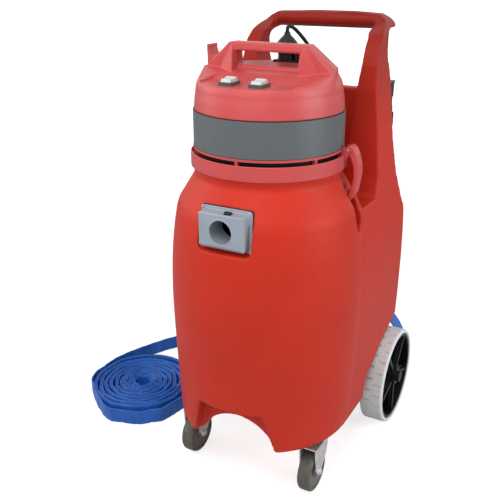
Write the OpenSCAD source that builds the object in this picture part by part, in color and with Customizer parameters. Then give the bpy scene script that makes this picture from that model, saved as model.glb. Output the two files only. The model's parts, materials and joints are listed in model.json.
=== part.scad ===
// Wet and dry pump-out tank vacuum: a moulded barrel tank on a four-wheel carriage,
// with a lift-off motor head, a pump in the tank and a lay-flat discharge hose.

/* [Tank] */
// Largest radius of the barrel
barrel_r = 220; // [216:1:232]
// Height of the tank from its underside to its rim
tank_h = 632; // [600:1:700]
// Thickness of the moulded tank wall
tank_wall = 6; // [4:0.5:8]
// Radius of the crease where the shoulder starts
shoulder_r = 203; // [199:1:207]
// Height of the sloping shoulder and neck below the rim
shoulder_h = 106; // [100:1:112]
// Outside radius of the neck
neck_r = 160; // [158:1:162]
// Inside radius of the tank's mouth
mouth_r = 150; // [146:1:152]
// Radius round the bottom edge of the barrel
foot_edge_r = 12; // [6:1:16]

/* [Handle] */
// Height of the push handle above the tank's rim
handle_rise = 287; // [275:1:320]
// Width over the posts at the top of the handle
handle_w = 332; // [324:1:340]
// Width of each handle post at the top
post_w = 33; // [30:1:36]
// Outer corner radius of the push handle
handle_corner_r = 30; // [20:1:36]
// Depth of the hand grip from front to back
grip_d = 60; // [54:1:66]
// Height of the hand grip
grip_t = 31; // [28:1:34]
// Height above the rim of the wall between the posts
wall_rise = 120; // [112:1:126]

/* [Head] */
// Outside radius of the grey band
band_r = 162; // [158:1:163]
// Height of the grey band
band_h = 75; // [65:1:85]
// Thickness of the head's moulded walls
head_wall = 3; // [2.5:0.5:4]
// Height of the dome above the band
dome_h = 84; // [80:1:90]
// Height of the carry handle above the dome
carry_h = 47; // [42:1:52]
// Length of the carry handle's grip bar
carry_w = 162; // [150:1:170]
// Distance between the two switches
switch_gap = 68; // [64:1:76]

/* [Inlet] */
// Radius of the hose bore, for a 2 inch cuff
inlet_bore_r = 25.4; // [22:0.1:28]
// Width of the inlet housing
inlet_w = 103; // [96:1:108]
// Height of the inlet housing
inlet_h = 76; // [70:1:80]
// Depth of the inlet's centre below the rim
inlet_drop = 110; // [104:1:116]

/* [Wheels] */
// Radius of the rear wheels
rear_r = 127; // [120:1:135]
// Width of the rear wheels
rear_w = 60; // [50:1:62]
// Distance of the rear axle behind the barrel's centre line
rear_axle_y = 299; // [290:1:310]
// Distance over the outsides of the rear wheels
rear_track = 486; // [486:1:500]
// Radius of the rear axle
axle_r = 8; // [6:0.5:10]
// Radius of the front casters' wheels
caster_r = 50.8; // [48:0.1:54]
// Width of the casters' wheels
caster_w = 32; // [26:1:34]
// Distance of each caster's wheel ahead of its swivel
caster_trail = 26; // [22:1:30]

/* [Discharge] */
// Width of the discharge hose when it lies flat
hose_w = 41; // [38:1:44]
// Radius of the rolled-up hose
roll_r = 160; // [150:1:165]
// Bore radius of the discharge hose when it is round
hose_bore_r = 12.7; // [12:0.1:13.5]

/* [Fits] */
// Radial clearance of a running fit
run = 0.05; // [0.02:0.01:0.09]
// Gap between pieces that only lie close to each other
gap = 0.4; // [0.3:0.1:0.6]

/* [Hidden] */
$fn = 48;

red = "#C8362B";
head_red = "#D0555A";
grey = "#6F7678";
pale_blue = "#A3AEB8";
black = "#1E1E20";
steel = "#B8C4C6";
eps = 0.01;

// Heights
fork_t = 3;
race_t = 13;
caster_gap = 20.4;
base_z = 2 * caster_r + caster_gap + fork_t + race_t;
rim_z = base_z + tank_h;
shoulder_z = rim_z - shoulder_h;
handle_z = rim_z + handle_rise;
panel_z = rim_z + wall_rise;
inlet_z = rim_z - inlet_drop;
belly_share = 0.494;
belly_z = base_z + belly_share * tank_h;
// The origin lies midway between the barrel's front and the rear wheels' backs
tank_y = (barrel_r - (rear_axle_y + rear_r)) / 2;

// ---- shared helpers ----

// Everything is drawn about the barrel's centre line and then set on the origin
module placed() {
  translate([0, tank_y, 0]) children();
}

// A copy on the left and one on the right
module both_sides() {
  for (side = [-1, 1]) scale_x(side) children();
}

module scale_x(side) {
  if (side > 0) children();
  else mirror([1, 0, 0]) children();
}

// A profile in the y-z plane, carried along x from x0 over a length
module along_x(x0, length) {
  translate([x0, 0, 0]) rotate([90, 0, 90]) linear_extrude(length) children();
}

// A profile in the x-z plane, carried along +y from y0 over a length
module along_y(y0, length) {
  translate([0, y0 + length, 0]) rotate([90, 0, 0]) linear_extrude(length) children();
}

// A round bar along x, centred at x
module bar_x(r, x0, length) {
  translate([x0, 0, 0]) rotate([0, 90, 0]) cylinder(r = r, h = length);
}

// A round bar along +y from y0
module bar_y(r, y0, length) {
  translate([0, y0, 0]) rotate([-90, 0, 0]) cylinder(r = r, h = length);
}

// A ring between two radii, standing on z
module ring(r_out, r_in, z, h) {
  translate([0, 0, z]) difference() {
    cylinder(r = r_out, h = h);
    translate([0, 0, -1]) cylinder(r = r_in, h = h + 2);
  }
}

// A centred rectangle with round corners, built from bars and discs
module rounded_rect(w, h, r) {
  square([w - 2 * r, h], center = true);
  square([w, h - 2 * r], center = true);
  for (i = [-1, 1], j = [-1, 1]) translate([i * (w / 2 - r), j * (h / 2 - r)]) circle(r);
}

// Points of an arc about a centre, from one angle to another
function arc(c, r, a0, a1, n) =
  [for (i = [0 : n]) let (a = a0 + (a1 - a0) * i / n) c + r * [cos(a), sin(a)]];

// ---- tank ----

// Radius of the barrel at a height: fullest at the belly, falling to shoulder and foot
foot_r = barrel_r - 13;
function belly(z) = z > belly_z
  ? barrel_r - (barrel_r - shoulder_r) * pow((z - belly_z) / (shoulder_z - belly_z), 2.4)
  : barrel_r - (barrel_r - foot_r) * pow((belly_z - z) / (belly_z - base_z), 1.3);
belly_steps = 16;
shoulder_round = 16;
neck_h = 32;
rim_lip_t = 10;

// Outline of the barrel, shrunk by an inset to give the cavity inside the wall
function barrel_outline(inset) = concat(
  [[0, base_z + inset]],
  arc([foot_r - foot_edge_r, base_z + foot_edge_r], foot_edge_r - inset / 2, -90, -10, 4)
    + [for (i = [0 : 4]) [-inset / 2, inset / 2]],
  [for (i = [1 : belly_steps - 1]) let (z = base_z + foot_edge_r
    + (shoulder_z - base_z - foot_edge_r) * i / belly_steps) [belly(z) - inset, z]],
  [[shoulder_r - inset, shoulder_z],
   [shoulder_r - shoulder_round / 3 - inset, shoulder_z + shoulder_round],
   [neck_r + 2 - inset, rim_z - neck_h],
   [neck_r + 2 - inset, rim_z - (inset > 0 ? -1 : rim_lip_t)],
   [0, rim_z - (inset > 0 ? -1 : rim_lip_t)]]);

module barrel(inset) {
  rotate_extrude($fn = 96) polygon(barrel_outline(inset));
}

// Rear column: a block that carries the wheels and rises into the handle
column_back = rear_axle_y + 61;
column_corner = 40;
column_inset = 2.5;
column_foot_rise = 60;
column_foot_in = 15;
column_shelf_z = shoulder_z - 84;
wall_rear = 285;
rim_rear = 287;
post_front = [[158, shoulder_z + 6], [171, shoulder_z + 40], [178, rim_z + 4], [182, panel_z + 4],
  [190, handle_z - 107], [197, handle_z - 87], [206, handle_z - 68], [216, handle_z - 55],
  [230, handle_z - 41], [249, handle_z - 29], [276, handle_z - 16], [300, handle_z - 7],
  [320, handle_z - 1]];
post_back = [[304, handle_z - grip_t], [286, handle_z - grip_t - 6], [273, handle_z - grip_t - 17],
  [265, handle_z - 62], [264, handle_z - 80], [268, handle_z - 102], [277, handle_z - 123],
  [wall_rear, panel_z], [rim_rear, rim_z + 10], [304, shoulder_z + 26], [333, shoulder_z - 34],
  [column_back - 4, column_shelf_z], [column_back, column_shelf_z - 80]];
grip_y = 315;
grip_z = handle_z - grip_t / 2;

// Side view of the column above its foot, as y and z
module column_side() {
  polygon(concat([[0, base_z], [0, shoulder_z - 4], [146, shoulder_z - 4]], post_front,
    [[grip_y + 8, grip_z]], post_back,
    [[column_back, base_z + column_foot_rise], [column_back - column_foot_in, base_z]]));
  grip_section();
}

// Section of the hand grip: a bar with half-round front and back
module grip_section() {
  translate([grip_y, grip_z]) square([grip_d - grip_t, grip_t], center = true);
  for (i = [-1, 1]) translate([grip_y + i * (grip_d - grip_t) / 2, grip_z]) circle(grip_t / 2);
}

// Half widths of the column, which follows the barrel's side, and of the posts
handle_x = handle_w / 2;
column_steps = 8;
column_half = concat(
  [for (i = [0 : column_steps]) let (z = base_z + (column_shelf_z - base_z) * i / column_steps)
    [belly(z) - column_inset, z]],
  [[belly(column_shelf_z) - 10, column_shelf_z + 34], [handle_x + 22, rim_z + 4],
   [handle_x + 9, panel_z + 10], [handle_x + 3, handle_z - 90]]);

// Front view of the column, as x and z
module column_front(inset) {
  for (side = [0, 1]) mirror([side, 0]) polygon(concat(
    [[0, base_z]], [for (p = column_half) p - [inset, 0]],
    arc([handle_x - handle_corner_r, handle_z - handle_corner_r], handle_corner_r, 0, 90, 8),
    [[0, handle_z]]));
}

// The window between the posts, above the wall that joins them
post_in = handle_x - post_w;
module handle_window() {
  for (side = [0, 1]) mirror([side, 0]) polygon([[0, panel_z], [post_in - 8, panel_z],
    [post_in, handle_z - 100], [post_in, handle_z + 2], [0, handle_z + 2]]);
}

// The open space before the wall, where the head stands
panel_front = 250;
head_bay_z = shoulder_z - 10;
module head_bay() {
  for (side = [0, 1]) mirror([side, 0]) polygon([[0, head_bay_z], [post_in - 34, head_bay_z],
    [post_in - 8, panel_z + 2], [0, panel_z + 2]]);
}

// Plan of the column with its round back corners
module column_plan(inset) {
  c = column_corner - inset / 2;
  x = barrel_r - inset;
  y = column_back - inset;
  translate([-x, 0]) square([2 * x, y - c]);
  translate([-x + c, 0]) square([2 * (x - c), y]);
  for (side = [-1, 1]) translate([side * (x - c), y - c]) circle(c);
}

module column() {
  difference() {
    intersection() {
      linear_extrude(handle_z + 1) column_plan(0);
      along_x(-barrel_r - 1, 2 * barrel_r + 2) column_side();
      along_y(-1, column_back + 2) column_front(0);
    }
    along_y(0, column_back + 1) handle_window();
    along_y(0, panel_front) head_bay();
  }
  along_x(-post_in - 1, 2 * post_in + 2) grip_section();
}

// Room for a rear wheel under the column's side, as y and z
wheel_room = 7;
wheel_in = rear_track / 2 - rear_w;
well_in = wheel_in - wheel_room;
well_out = barrel_r + 16;
module wheel_well_side() {
  polygon([[130, base_z - 40], [146, 2 * rear_r - 54], [190, 2 * rear_r - 37],
    [240, 2 * rear_r - 5], [column_back + 1, 2 * rear_r + 44], [column_back + 80, 2 * rear_r + 44],
    [column_back + 80, base_z - 40]]);
}

module wheel_wells(grow) {
  both_sides() along_x(well_in - grow, well_out - well_in + grow)
    translate([0, grow]) wheel_well_side();
}

// Foot of the column between the wheels, with the round boss for the axle
axle_boss_r = 20;
module axle_boss() {
  translate([0, rear_axle_y, rear_r]) bar_x(axle_boss_r, -well_in, 2 * well_in);
  along_x(-well_in, 2 * well_in) translate([rear_axle_y - axle_boss_r, rear_r])
    square([2 * axle_boss_r, axle_boss_r + base_z - rear_r]);
}

// Recess in the barrel's front foot, between the casters
arch_x = 9;
arch_top = 103;
arch_w = 152;
arch_foot_w = 204;
arch_back = -160;
arch_rise = 61;
arch_half = 95;
arch_r = (arch_half * arch_half + arch_rise * arch_rise) / (2 * arch_rise);
module front_arch(grow) {
  translate([arch_x, 0, 0]) {
    along_y(-barrel_r - 20, barrel_r + 20 + arch_back + grow) polygon([
      [-arch_foot_w / 2 - grow, base_z - 1], [-arch_w / 2 - grow, base_z + arch_top + grow],
      [arch_w / 2 + grow, base_z + arch_top + grow], [arch_foot_w / 2 + grow, base_z - 1]]);
    translate([0, 0, base_z + arch_rise - arch_r]) bar_y(arch_r + grow, arch_back - 1, 80 + grow);
  }
}

// Flat recess in the shoulder for the inlet
inlet_face_y = -180;
inlet_flange_w = inlet_w + 17;
inlet_flange_h = inlet_h + 16;
module inlet_recess(grow) {
  along_y(-barrel_r - 1, barrel_r + 1 + inlet_face_y + grow) translate([0, inlet_z])
    rounded_rect(inlet_flange_w + 4 + 2 * grow, inlet_flange_h + 4 + 2 * grow, 8);
}

// Pockets in the shoulder for the latches, with the lip that each latch hooks
latch_y = 33;
latch_w = 26;
latch_room = 6;
pocket_x = 167;
pocket_z = rim_z - 152;
pocket_top = rim_z - 16;
module latch_pocket(grow) {
  w = latch_w + 2 * latch_room + 2 * grow;
  both_sides() along_x(pocket_x - grow, 60) {
    translate([latch_y - w / 2, pocket_z + w / 2 - grow]) square([w, pocket_top - pocket_z - w / 2]);
    translate([latch_y, pocket_z + w / 2 - grow]) circle(w / 2);
  }
}

keeper_z = rim_z - 66;
keeper_x = 174;
keeper_r = 4;
module latch_keepers() {
  both_sides() translate([keeper_x, latch_y - latch_w / 2 - latch_room - 2, keeper_z])
    bar_y(keeper_r, 0, latch_w + 2 * latch_room + 4);
}

inlet_tube_r = inlet_bore_r + 3;
outlet_z = 330;
outlet_r = 17;
module tank() {
  color(red) placed() difference() {
    union() {
      difference() {
        union() {
          difference() {
            union() {
              barrel(0);
              column();
              axle_boss();
              ring(neck_r + 5, mouth_r, rim_z - rim_lip_t - 8, rim_lip_t + 8);
            }
            wheel_wells(0);
          }
        }
        tank_cavity();
        translate([0, 0, rim_z - 40]) cylinder(r = mouth_r, h = 60);
      }
    }
    front_arch(0);
    inlet_recess(0);
    latch_pocket(0);
    bar_y_at(inlet_z, inlet_tube_r + gap, -barrel_r, 60);
    translate([0, rear_axle_y, rear_r]) bar_x(axle_r + run, -barrel_r, 2 * barrel_r);
    translate([riser_x, 0, outlet_z]) bar_y(outlet_r + gap, column_back - 30, 60);
  }
  color(red) placed() latch_keepers();
}

module bar_y_at(z, r, y0, length) {
  translate([0, 0, z]) bar_y(r, y0, length);
}

// The hollow inside the wall, kept a wall away from every recess
cavity_top = head_bay_z - tank_wall;
module tank_cavity() {
  difference() {
    union() {
      barrel(tank_wall);
      intersection() {
        linear_extrude(shoulder_z) column_plan(tank_wall);
        along_y(-1, column_back + 2) column_front(tank_wall + 1);
        along_x(-barrel_r, 2 * barrel_r) polygon([[0, base_z + tank_wall], [0, cavity_top],
          [333 - 3 * tank_wall, cavity_top], [column_back - 4 - 2 * tank_wall, column_shelf_z],
          [column_back - tank_wall, column_shelf_z - 80],
          [column_back - tank_wall, base_z + column_foot_rise],
          [column_back - column_foot_in - tank_wall, base_z + tank_wall]]);
      }
    }
    wheel_wells(tank_wall);
    front_arch(tank_wall);
    inlet_recess(tank_wall);
    latch_pocket(tank_wall);
  }
}

// ---- inlet ----

inlet_proud = 32;
flange_t = 3;
gasket_t = 2;
inlet_front_y = inlet_face_y - inlet_proud;

module inlet_gasket() {
  color(black) placed() difference() {
    along_y(inlet_face_y - gasket_t, gasket_t) translate([0, inlet_z])
      rounded_rect(inlet_flange_w, inlet_flange_h, 7);
    bar_y_at(inlet_z, inlet_tube_r + gap, inlet_face_y - 10, 20);
  }
}

// Housing with sloped front edges, a flange behind and a tube that passes the wall
module inlet_housing() {
  y1 = inlet_face_y - gasket_t;
  chamfer = 7;
  color(pale_blue) placed() difference() {
    union() {
      along_y(y1 - flange_t, flange_t) translate([0, inlet_z])
        rounded_rect(inlet_flange_w - 2, inlet_flange_h - 2, 7);
      intersection() {
        along_y(inlet_front_y, y1 - inlet_front_y) translate([0, inlet_z])
          rounded_rect(inlet_w, inlet_h, 5);
        along_x(-inlet_w / 2, inlet_w) polygon([[y1, inlet_z - inlet_h / 2],
          [inlet_front_y + chamfer, inlet_z - inlet_h / 2],
          [inlet_front_y, inlet_z - inlet_h / 2 + chamfer],
          [inlet_front_y, inlet_z + inlet_h / 2 - 2],
          [inlet_front_y + 3, inlet_z + inlet_h / 2], [y1, inlet_z + inlet_h / 2]]);
        linear_extrude(rim_z) polygon([[-inlet_w / 2, y1], [-inlet_w / 2, inlet_front_y + 2],
          [-inlet_w / 2 + 2, inlet_front_y], [inlet_w / 2 - chamfer, inlet_front_y],
          [inlet_w / 2, inlet_front_y + chamfer], [inlet_w / 2, y1]]);
      }
      bar_y_at(inlet_z, inlet_bore_r + 3, inlet_front_y - 1, 10);
      bar_y_at(inlet_z, inlet_tube_r, y1 - 1, 24);
    }
    bar_y_at(inlet_z, inlet_bore_r, inlet_front_y - 5, 80);
    slide_slot();
  }
}

// Lock slide on top of the inlet housing, in its slot
slide_x = 12;
slide_w = 14;
slide_travel = 6;
slide_depth = 4;
slide_len = 12;
slide_y = inlet_front_y + 6;
module slide_slot() {
  translate([slide_x - slide_w / 2 - gap, slide_y - gap, inlet_z + inlet_h / 2 - slide_depth])
    cube([slide_w + 2 * gap, slide_len + slide_travel + 2 * gap, slide_depth + 1]);
}

module inlet_slide() {
  z = inlet_z + inlet_h / 2 - slide_depth;
  color(black) placed() along_x(slide_x - slide_w / 2, slide_w) polygon([[slide_y, z],
    [slide_y, z + slide_depth + 1.5], [slide_y + 4, z + slide_depth + 5],
    [slide_y + 8, z + slide_depth + 5], [slide_y + slide_len, z + slide_depth + 1.5],
    [slide_y + slide_len, z]]);
}

screw_r = 2.5;
inlet_screw_x = inlet_flange_w / 2 - 5;
inlet_screw_z = inlet_flange_h / 2 - 4;
module inlet_screws() {
  y = inlet_face_y - gasket_t - flange_t;
  color(steel) placed() for (i = [-1, 1], j = [-1, 1])
    translate([i * inlet_screw_x, 0, inlet_z + j * inlet_screw_z]) bar_y(3, y - 1.6, 1.6);
}

// Elbow behind the inlet that turns the stream down into the tank
module inlet_deflector() {
  tube_in = inlet_tube_r + gap;
  bend = 40;
  y0 = inlet_face_y + tank_wall + 1;
  color(black) placed() {
    translate([0, y0 + 12, inlet_z]) translate([0, 0, -bend]) rotate([0, 0, 90]) rotate([90, 0, 0])
      rotate_extrude(angle = 90) translate([bend, 0]) difference() {
        circle(tube_in + 2.5);
        circle(tube_in);
      }
    difference() {
      bar_y_at(inlet_z, tube_in + 2.5, y0, 12);
      bar_y_at(inlet_z, tube_in, y0 - 1, 14);
    }
  }
}

// ---- rear wheels ----

tyre_t = 10;
hub_r = rear_r - tyre_t;
hub_rim_t = 8;
hub_boss_r = 22;
spokes = 5;
cap_t = 9;
module rear_axle() {
  x = rear_track / 2 + cap_t - 2;
  color(steel) placed() translate([0, rear_axle_y, rear_r]) bar_x(axle_r, -x, 2 * x);
}

module axle_cap(side) {
  color(black) placed() scale_x(side) translate([0, rear_axle_y, rear_r]) difference() {
    bar_x(axle_r + 7, rear_track / 2 + gap, cap_t);
    bar_x(axle_r, rear_track / 2 - 1, cap_t - 1);
  }
}

// Moulded wheel body: rim, boss and five pairs of ribs on a web
module rear_hub(side) {
  w = rear_w - 6;
  x = rear_track / 2 - rear_w / 2;
  color(black) placed() scale_x(side) translate([x, rear_axle_y, rear_r]) rotate([0, 90, 0])
    difference() {
      union() {
        translate([0, 0, -w / 2]) difference() {
          cylinder(r = hub_r, h = w, $fn = 96);
          translate([0, 0, -1]) cylinder(r = hub_r - hub_rim_t, h = w + 2, $fn = 96);
        }
        translate([0, 0, -rear_w / 2]) cylinder(r = hub_boss_r, h = rear_w);
        hub_spokes(w);
      }
      translate([0, 0, -rear_w]) cylinder(r = axle_r + run, h = 2 * rear_w);
    }
}

// Tapered blocks with a thin rib along each, one set for each spoke
module hub_spokes(w) {
  length = hub_r - hub_rim_t / 2;
  translate([0, 0, -w / 2 + 10]) linear_extrude(w - 20) for (i = [0 : spokes - 1])
    rotate(i * 360 / spokes) polygon([[0, -hub_boss_r + 4], [length, -9], [length, 9], [0, hub_boss_r - 4]]);
  translate([0, 0, -w / 2 + 3]) linear_extrude(w - 6) for (i = [0 : spokes - 1])
    rotate(i * 360 / spokes) translate([0, -4]) square([length, 8]);
}

module rear_tyre(side) {
  x = rear_track / 2 - rear_w / 2;
  h = rear_w / 2;
  color("#C9C2C8") placed() scale_x(side) translate([x, rear_axle_y, rear_r]) rotate([0, 90, 0])
    rotate_extrude($fn = 96) polygon([[hub_r, -h + 2], [hub_r + 2, -h], [rear_r - 4, -h],
      [rear_r, -h + 5], [rear_r, h - 5], [rear_r - 4, h], [hub_r + 2, h], [hub_r, h - 2]]);
}

// ---- casters ----

caster_x = barrel_r - 61;
caster_y = -50;
kingpin_r = 5;
kingpin_head_t = 4;
caster_plate_r = 27;
caster_plate_t = 4;
race_r = 22;
bolt_r = 4;
fork_room = 2.5;
fork_side = caster_w / 2 + fork_room + fork_t;
fork_front = -caster_trail - 26;
fork_back = 18;
eye_r = 10;

module at_caster(side) {
  placed() scale_x(side) translate([caster_x, caster_y, 0]) children();
}

// Top plate and race with the kingpin, which the fork turns on
module caster_plate(side) {
  top = base_z - race_t;
  color(black) at_caster(side) {
    translate([0, 0, base_z - caster_plate_t]) cylinder(r = caster_plate_r, h = caster_plate_t);
    translate([0, 0, top]) cylinder(r1 = race_r, r2 = race_r - 3, h = race_t - caster_plate_t + eps);
    translate([0, 0, top - fork_t - kingpin_head_t]) cylinder(r = kingpin_r, h = fork_t + race_t);
    translate([0, 0, top - fork_t - kingpin_head_t - 2])
      cylinder(r = kingpin_r + 4, h = kingpin_head_t + 2 - gap);
  }
}

// Pressed fork: a top plate with a wide cheek on each side of the wheel
module caster_fork(side) {
  top = base_z - race_t;
  color(steel) at_caster(side) difference() {
    union() {
      translate([-fork_side, fork_front, top - fork_t])
        cube([2 * fork_side, fork_back - fork_front, fork_t]);
      for (i = [0, 1]) mirror([i, 0, 0]) along_x(fork_side - fork_t, fork_t) {
        polygon([[fork_back, top], [fork_front, top], [fork_front + 5, caster_r + 12],
          [-caster_trail - eye_r, caster_r - 2], [-caster_trail + eye_r - 2, caster_r - 5],
          [fork_back - 8, caster_r + 32], [fork_back, top - 22]]);
        translate([-caster_trail, caster_r]) circle(eye_r);
      }
    }
    translate([0, 0, top - 10]) cylinder(r = kingpin_r + run, h = 20);
    translate([0, -caster_trail, caster_r]) bar_x(bolt_r + run, -50, 100);
  }
}

caster_hub_r = 39;
module caster_wheel(side) {
  h = caster_w / 2;
  color("#6E6C68") at_caster(side) translate([0, -caster_trail, caster_r]) rotate([0, 90, 0])
    rotate_extrude($fn = 64) polygon([[bolt_r + run, -h], [14, -h], [16, -h + 6],
      [caster_hub_r - 7, -h + 6], [caster_hub_r - 4, -h + 3], [caster_hub_r, -h + 3],
      [caster_hub_r, h - 3], [caster_hub_r - 4, h - 3], [caster_hub_r - 7, h - 6],
      [16, h - 6], [14, h], [bolt_r + run, h]]);
}

module caster_tread(side) {
  h = caster_w / 2;
  edge = 7;
  color("#5B5853") at_caster(side) translate([0, -caster_trail, caster_r]) rotate([0, 90, 0])
    rotate_extrude($fn = 64) polygon(concat([[caster_hub_r, h - 3], [caster_hub_r, -h + 3],
      [caster_hub_r + 2, -h]], arc([caster_r - edge, -h + edge], edge, -90, 0, 5),
      arc([caster_r - edge, h - edge], edge, 0, 90, 5), [[caster_hub_r + 2, h]]));
}

module caster_bolt(side) {
  head_t = 4;
  color(steel) at_caster(side) translate([0, -caster_trail, caster_r]) {
    bar_x(bolt_r, -fork_side - head_t + 1, 2 * (fork_side + head_t - 1));
    for (i = [0, 1]) mirror([i, 0, 0]) bar_x(bolt_r + 2.5, fork_side, head_t);
  }
}

// ---- head ----

skirt_r = neck_r + 8.7;
skirt_in_r = neck_r + 5 + gap;
gasket_z = rim_z;
seal_t = 4;
plate_t = 5;
plate_z = rim_z + seal_t;
skirt_z = rim_z - 13;
skirt_top = rim_z + 18.5;
flange_z = rim_z + 26;
band_z = flange_z + plate_t;
dome_z = band_z + band_h;
dome_top = dome_z + dome_h + 1;
drum_r = neck_r - 7;
suction_r = 28;
pivot_x = 176;
pivot_z = rim_z + 30;
pin_r = 2.5;
ear_t = 3;
slots = 6;
slot_turn = 33;
screen_t = 2;

// Base of the head: plate, skirt over the tank's rim, and a flange on six ribs under the band
module head_base() {
  color(head_red) placed() difference() {
    union() {
      rotate_extrude($fn = 96) polygon([[suction_r, plate_z], [skirt_in_r, plate_z],
        [skirt_in_r, skirt_z], [skirt_r - 1, skirt_z], [skirt_r, skirt_z + 1],
        [skirt_r, skirt_top - 1], [skirt_r - 1, skirt_top], [skirt_r - 2.5, skirt_top],
        [skirt_in_r, plate_z + plate_t], [suction_r, plate_z + plate_t]]);
      rotate_extrude($fn = 96) polygon([[drum_r - 8, flange_z], [band_r + 1, flange_z],
        [band_r + 1, band_z], [drum_r - 8, band_z]]);
      for (i = [0 : slots - 1]) rotate([0, 0, slot_turn + i * 360 / slots])
        translate([drum_r - 1, -3, plate_z + plate_t - 1])
          cube([band_r - drum_r, 6, flange_z - plate_z - plate_t + 2]);
      both_sides() latch_ears();
    }
    both_sides() translate([pivot_x, latch_y - 40, pivot_z]) bar_y(pin_r + run, 0, 80);
    motor_holes();
  }
}

// Screen behind the ribs, where the cooling air goes in
module intake_screen() {
  color(black) placed() ring(drum_r - 1.5, drum_r - 1.5 - screen_t, plate_z + plate_t,
    flange_z - plate_z - plate_t);
}

module latch_ears() {
  w = latch_w / 2 + gap;
  for (y = [latch_y - w - ear_t, latch_y + w]) along_y(y, ear_t) {
    translate([drum_r, plate_z + plate_t]) square([pivot_x - drum_r - 4, flange_z - plate_z - plate_t]);
    difference() {
      union() {
        translate([pivot_x, pivot_z]) circle(7);
        translate([band_r + 1, skirt_top - 4]) square([pivot_x - band_r - 1, pivot_z - skirt_top + 8]);
      }
      translate([0, 0]) square([band_r + 1, dome_top]);
    }
  }
}

module head_gasket() {
  color(black) placed() ring(neck_r + 4, mouth_r + 2, gasket_z, seal_t);
}

module band() {
  color(grey) placed() ring(band_r, band_r - head_wall, band_z, band_h);
}

// Outline of the dome: nearly upright sides, a round shoulder and a flat top
dome_round = 45;
function dome_outline(inset) = concat(
  [[0, dome_z], [band_r - 3.5 - inset, dome_z], [band_r - 3.5 - inset, dome_z + 1.5],
   [band_r - 2 - inset, dome_z + 1.5], [band_r - 4 - inset, dome_z + 24]],
  arc([band_r - 6.5 - dome_round, dome_top - dome_round], dome_round - inset, 0, 90, 10),
  [[0, dome_top - inset]]);

// Step down in front of the carry handle, to the switch deck
deck_z = dome_top - 26.5;
deck_half = 105;
module front_step(inset) {
  along_x(-band_r, 2 * band_r) polygon([[-band_r - 1, dome_top - 23 - inset],
    [-30, dome_top - 20 - inset], [-6, dome_top - 15 - inset], [6, dome_top + 1],
    [6, dome_top + 99], [-band_r - 1, dome_top + 99]]);
}

module switch_deck(inset) {
  translate([-deck_half - inset, -band_r - 1, deck_z - inset])
    cube([2 * (deck_half + inset), band_r - 29 + inset, 60]);
}

switch_y = -103;
switch_mid = -4;
bezel_w = 31;
bezel_l = 41;
switch_body_w = 25;
switch_body_l = 36;
gland_x = 24;
gland_z = dome_z + 24;
gland_r = 8;
receptacle_y = 100;
receptacle_x = -8;
neck_plug_r = 19.5;
module dome() {
  color(head_red) placed() difference() {
    union() {
      difference() {
        rotate_extrude($fn = 96) polygon(dome_outline(0));
        front_step(0);
        switch_deck(0);
      }
      carry_handle();
    }
    difference() {
      translate([0, 0, -eps]) rotate_extrude($fn = 96) polygon(dome_outline(head_wall));
      front_step(head_wall);
      switch_deck(head_wall);
    }
    for (i = [-1, 1]) translate([switch_mid + i * switch_gap / 2, switch_y, deck_z])
      cube([switch_body_w + 2 * gap, switch_body_l + 2 * gap, 20], center = true);
    translate([gland_x, 0, gland_z]) bar_y(gland_r + gap, band_r - 40, 60);
    translate([receptacle_x, receptacle_y, dome_top - 10]) cylinder(r = neck_plug_r - 2, h = 12);
  }
}

// Carry handle: a straight bar between two feet that spread out over the dome
carry_y = -10;
carry_d = 36;
bar_t = 18;
foot_z = dome_top - 30;
foot_h = 22;
module carry_handle() {
  top = dome_top + carry_h;
  half = carry_w / 2;
  along_x(-half - 6, 2 * half + 12) polygon([[carry_y + 3, top - bar_t], [carry_y, top - bar_t + 3],
    [carry_y + 1, top - 3], [carry_y + 5, top], [carry_y + carry_d - 4, top],
    [carry_y + carry_d, top - 4], [carry_y + carry_d, top - bar_t + 3],
    [carry_y + carry_d - 3, top - bar_t]]);
  both_sides() hull() {
    translate([half - 2, carry_y + 1, top - 2]) cube([12, carry_d - 3, 2]);
    translate([0, 0, foot_z]) linear_extrude(foot_h) polygon([[half + 26, -8], [half + 67, -14],
      [half + 72, 8], [half + 69, 36], [half + 58, 60], [half + 20, 70]]);
  }
}

// Switches: a bezel through the deck, with a rocker on a cross pin
rocker_tilt = 7;
rocker_pin_r = 2;
bezel_flange_t = 6.5;
pivot_rise = 1;
well_w = 22.6;
well_l = 33.6;
module switch_bezels() {
  color(black) placed() for (i = [-1, 1])
    translate([switch_mid + i * switch_gap / 2, switch_y, deck_z]) difference() {
      union() {
        linear_extrude(bezel_flange_t) rounded_rect(bezel_w, bezel_l, 3);
        translate([-switch_body_w / 2, -switch_body_l / 2, -16])
          cube([switch_body_w, switch_body_l, 17]);
      }
      translate([-well_w / 2, -well_l / 2, -14]) cube([well_w, well_l, 30]);
      translate([0, 0, pivot_rise]) bar_x(rocker_pin_r + run, -switch_body_w / 2 + 0.4, switch_body_w - 0.8);
    }
}

module rocker(side) {
  w = well_w - 2 * gap;
  l = well_l - 4;
  color("#D8DADA") placed()
    translate([switch_mid + side * switch_gap / 2, switch_y, deck_z + pivot_rise]) {
      rotate([rocker_tilt, 0, 0]) along_x(-w / 2, w) polygon([[-l / 2, -2], [-l / 2, 8],
        [-l / 2 + 4, 13], [-1, 11], [1, 11], [l / 2 - 4, 13], [l / 2, 8], [l / 2, -2], [4, -9],
        [-4, -9]]);
      bar_x(rocker_pin_r, -switch_body_w / 2 + 0.6, switch_body_w - 1.2);
    }
}

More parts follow.
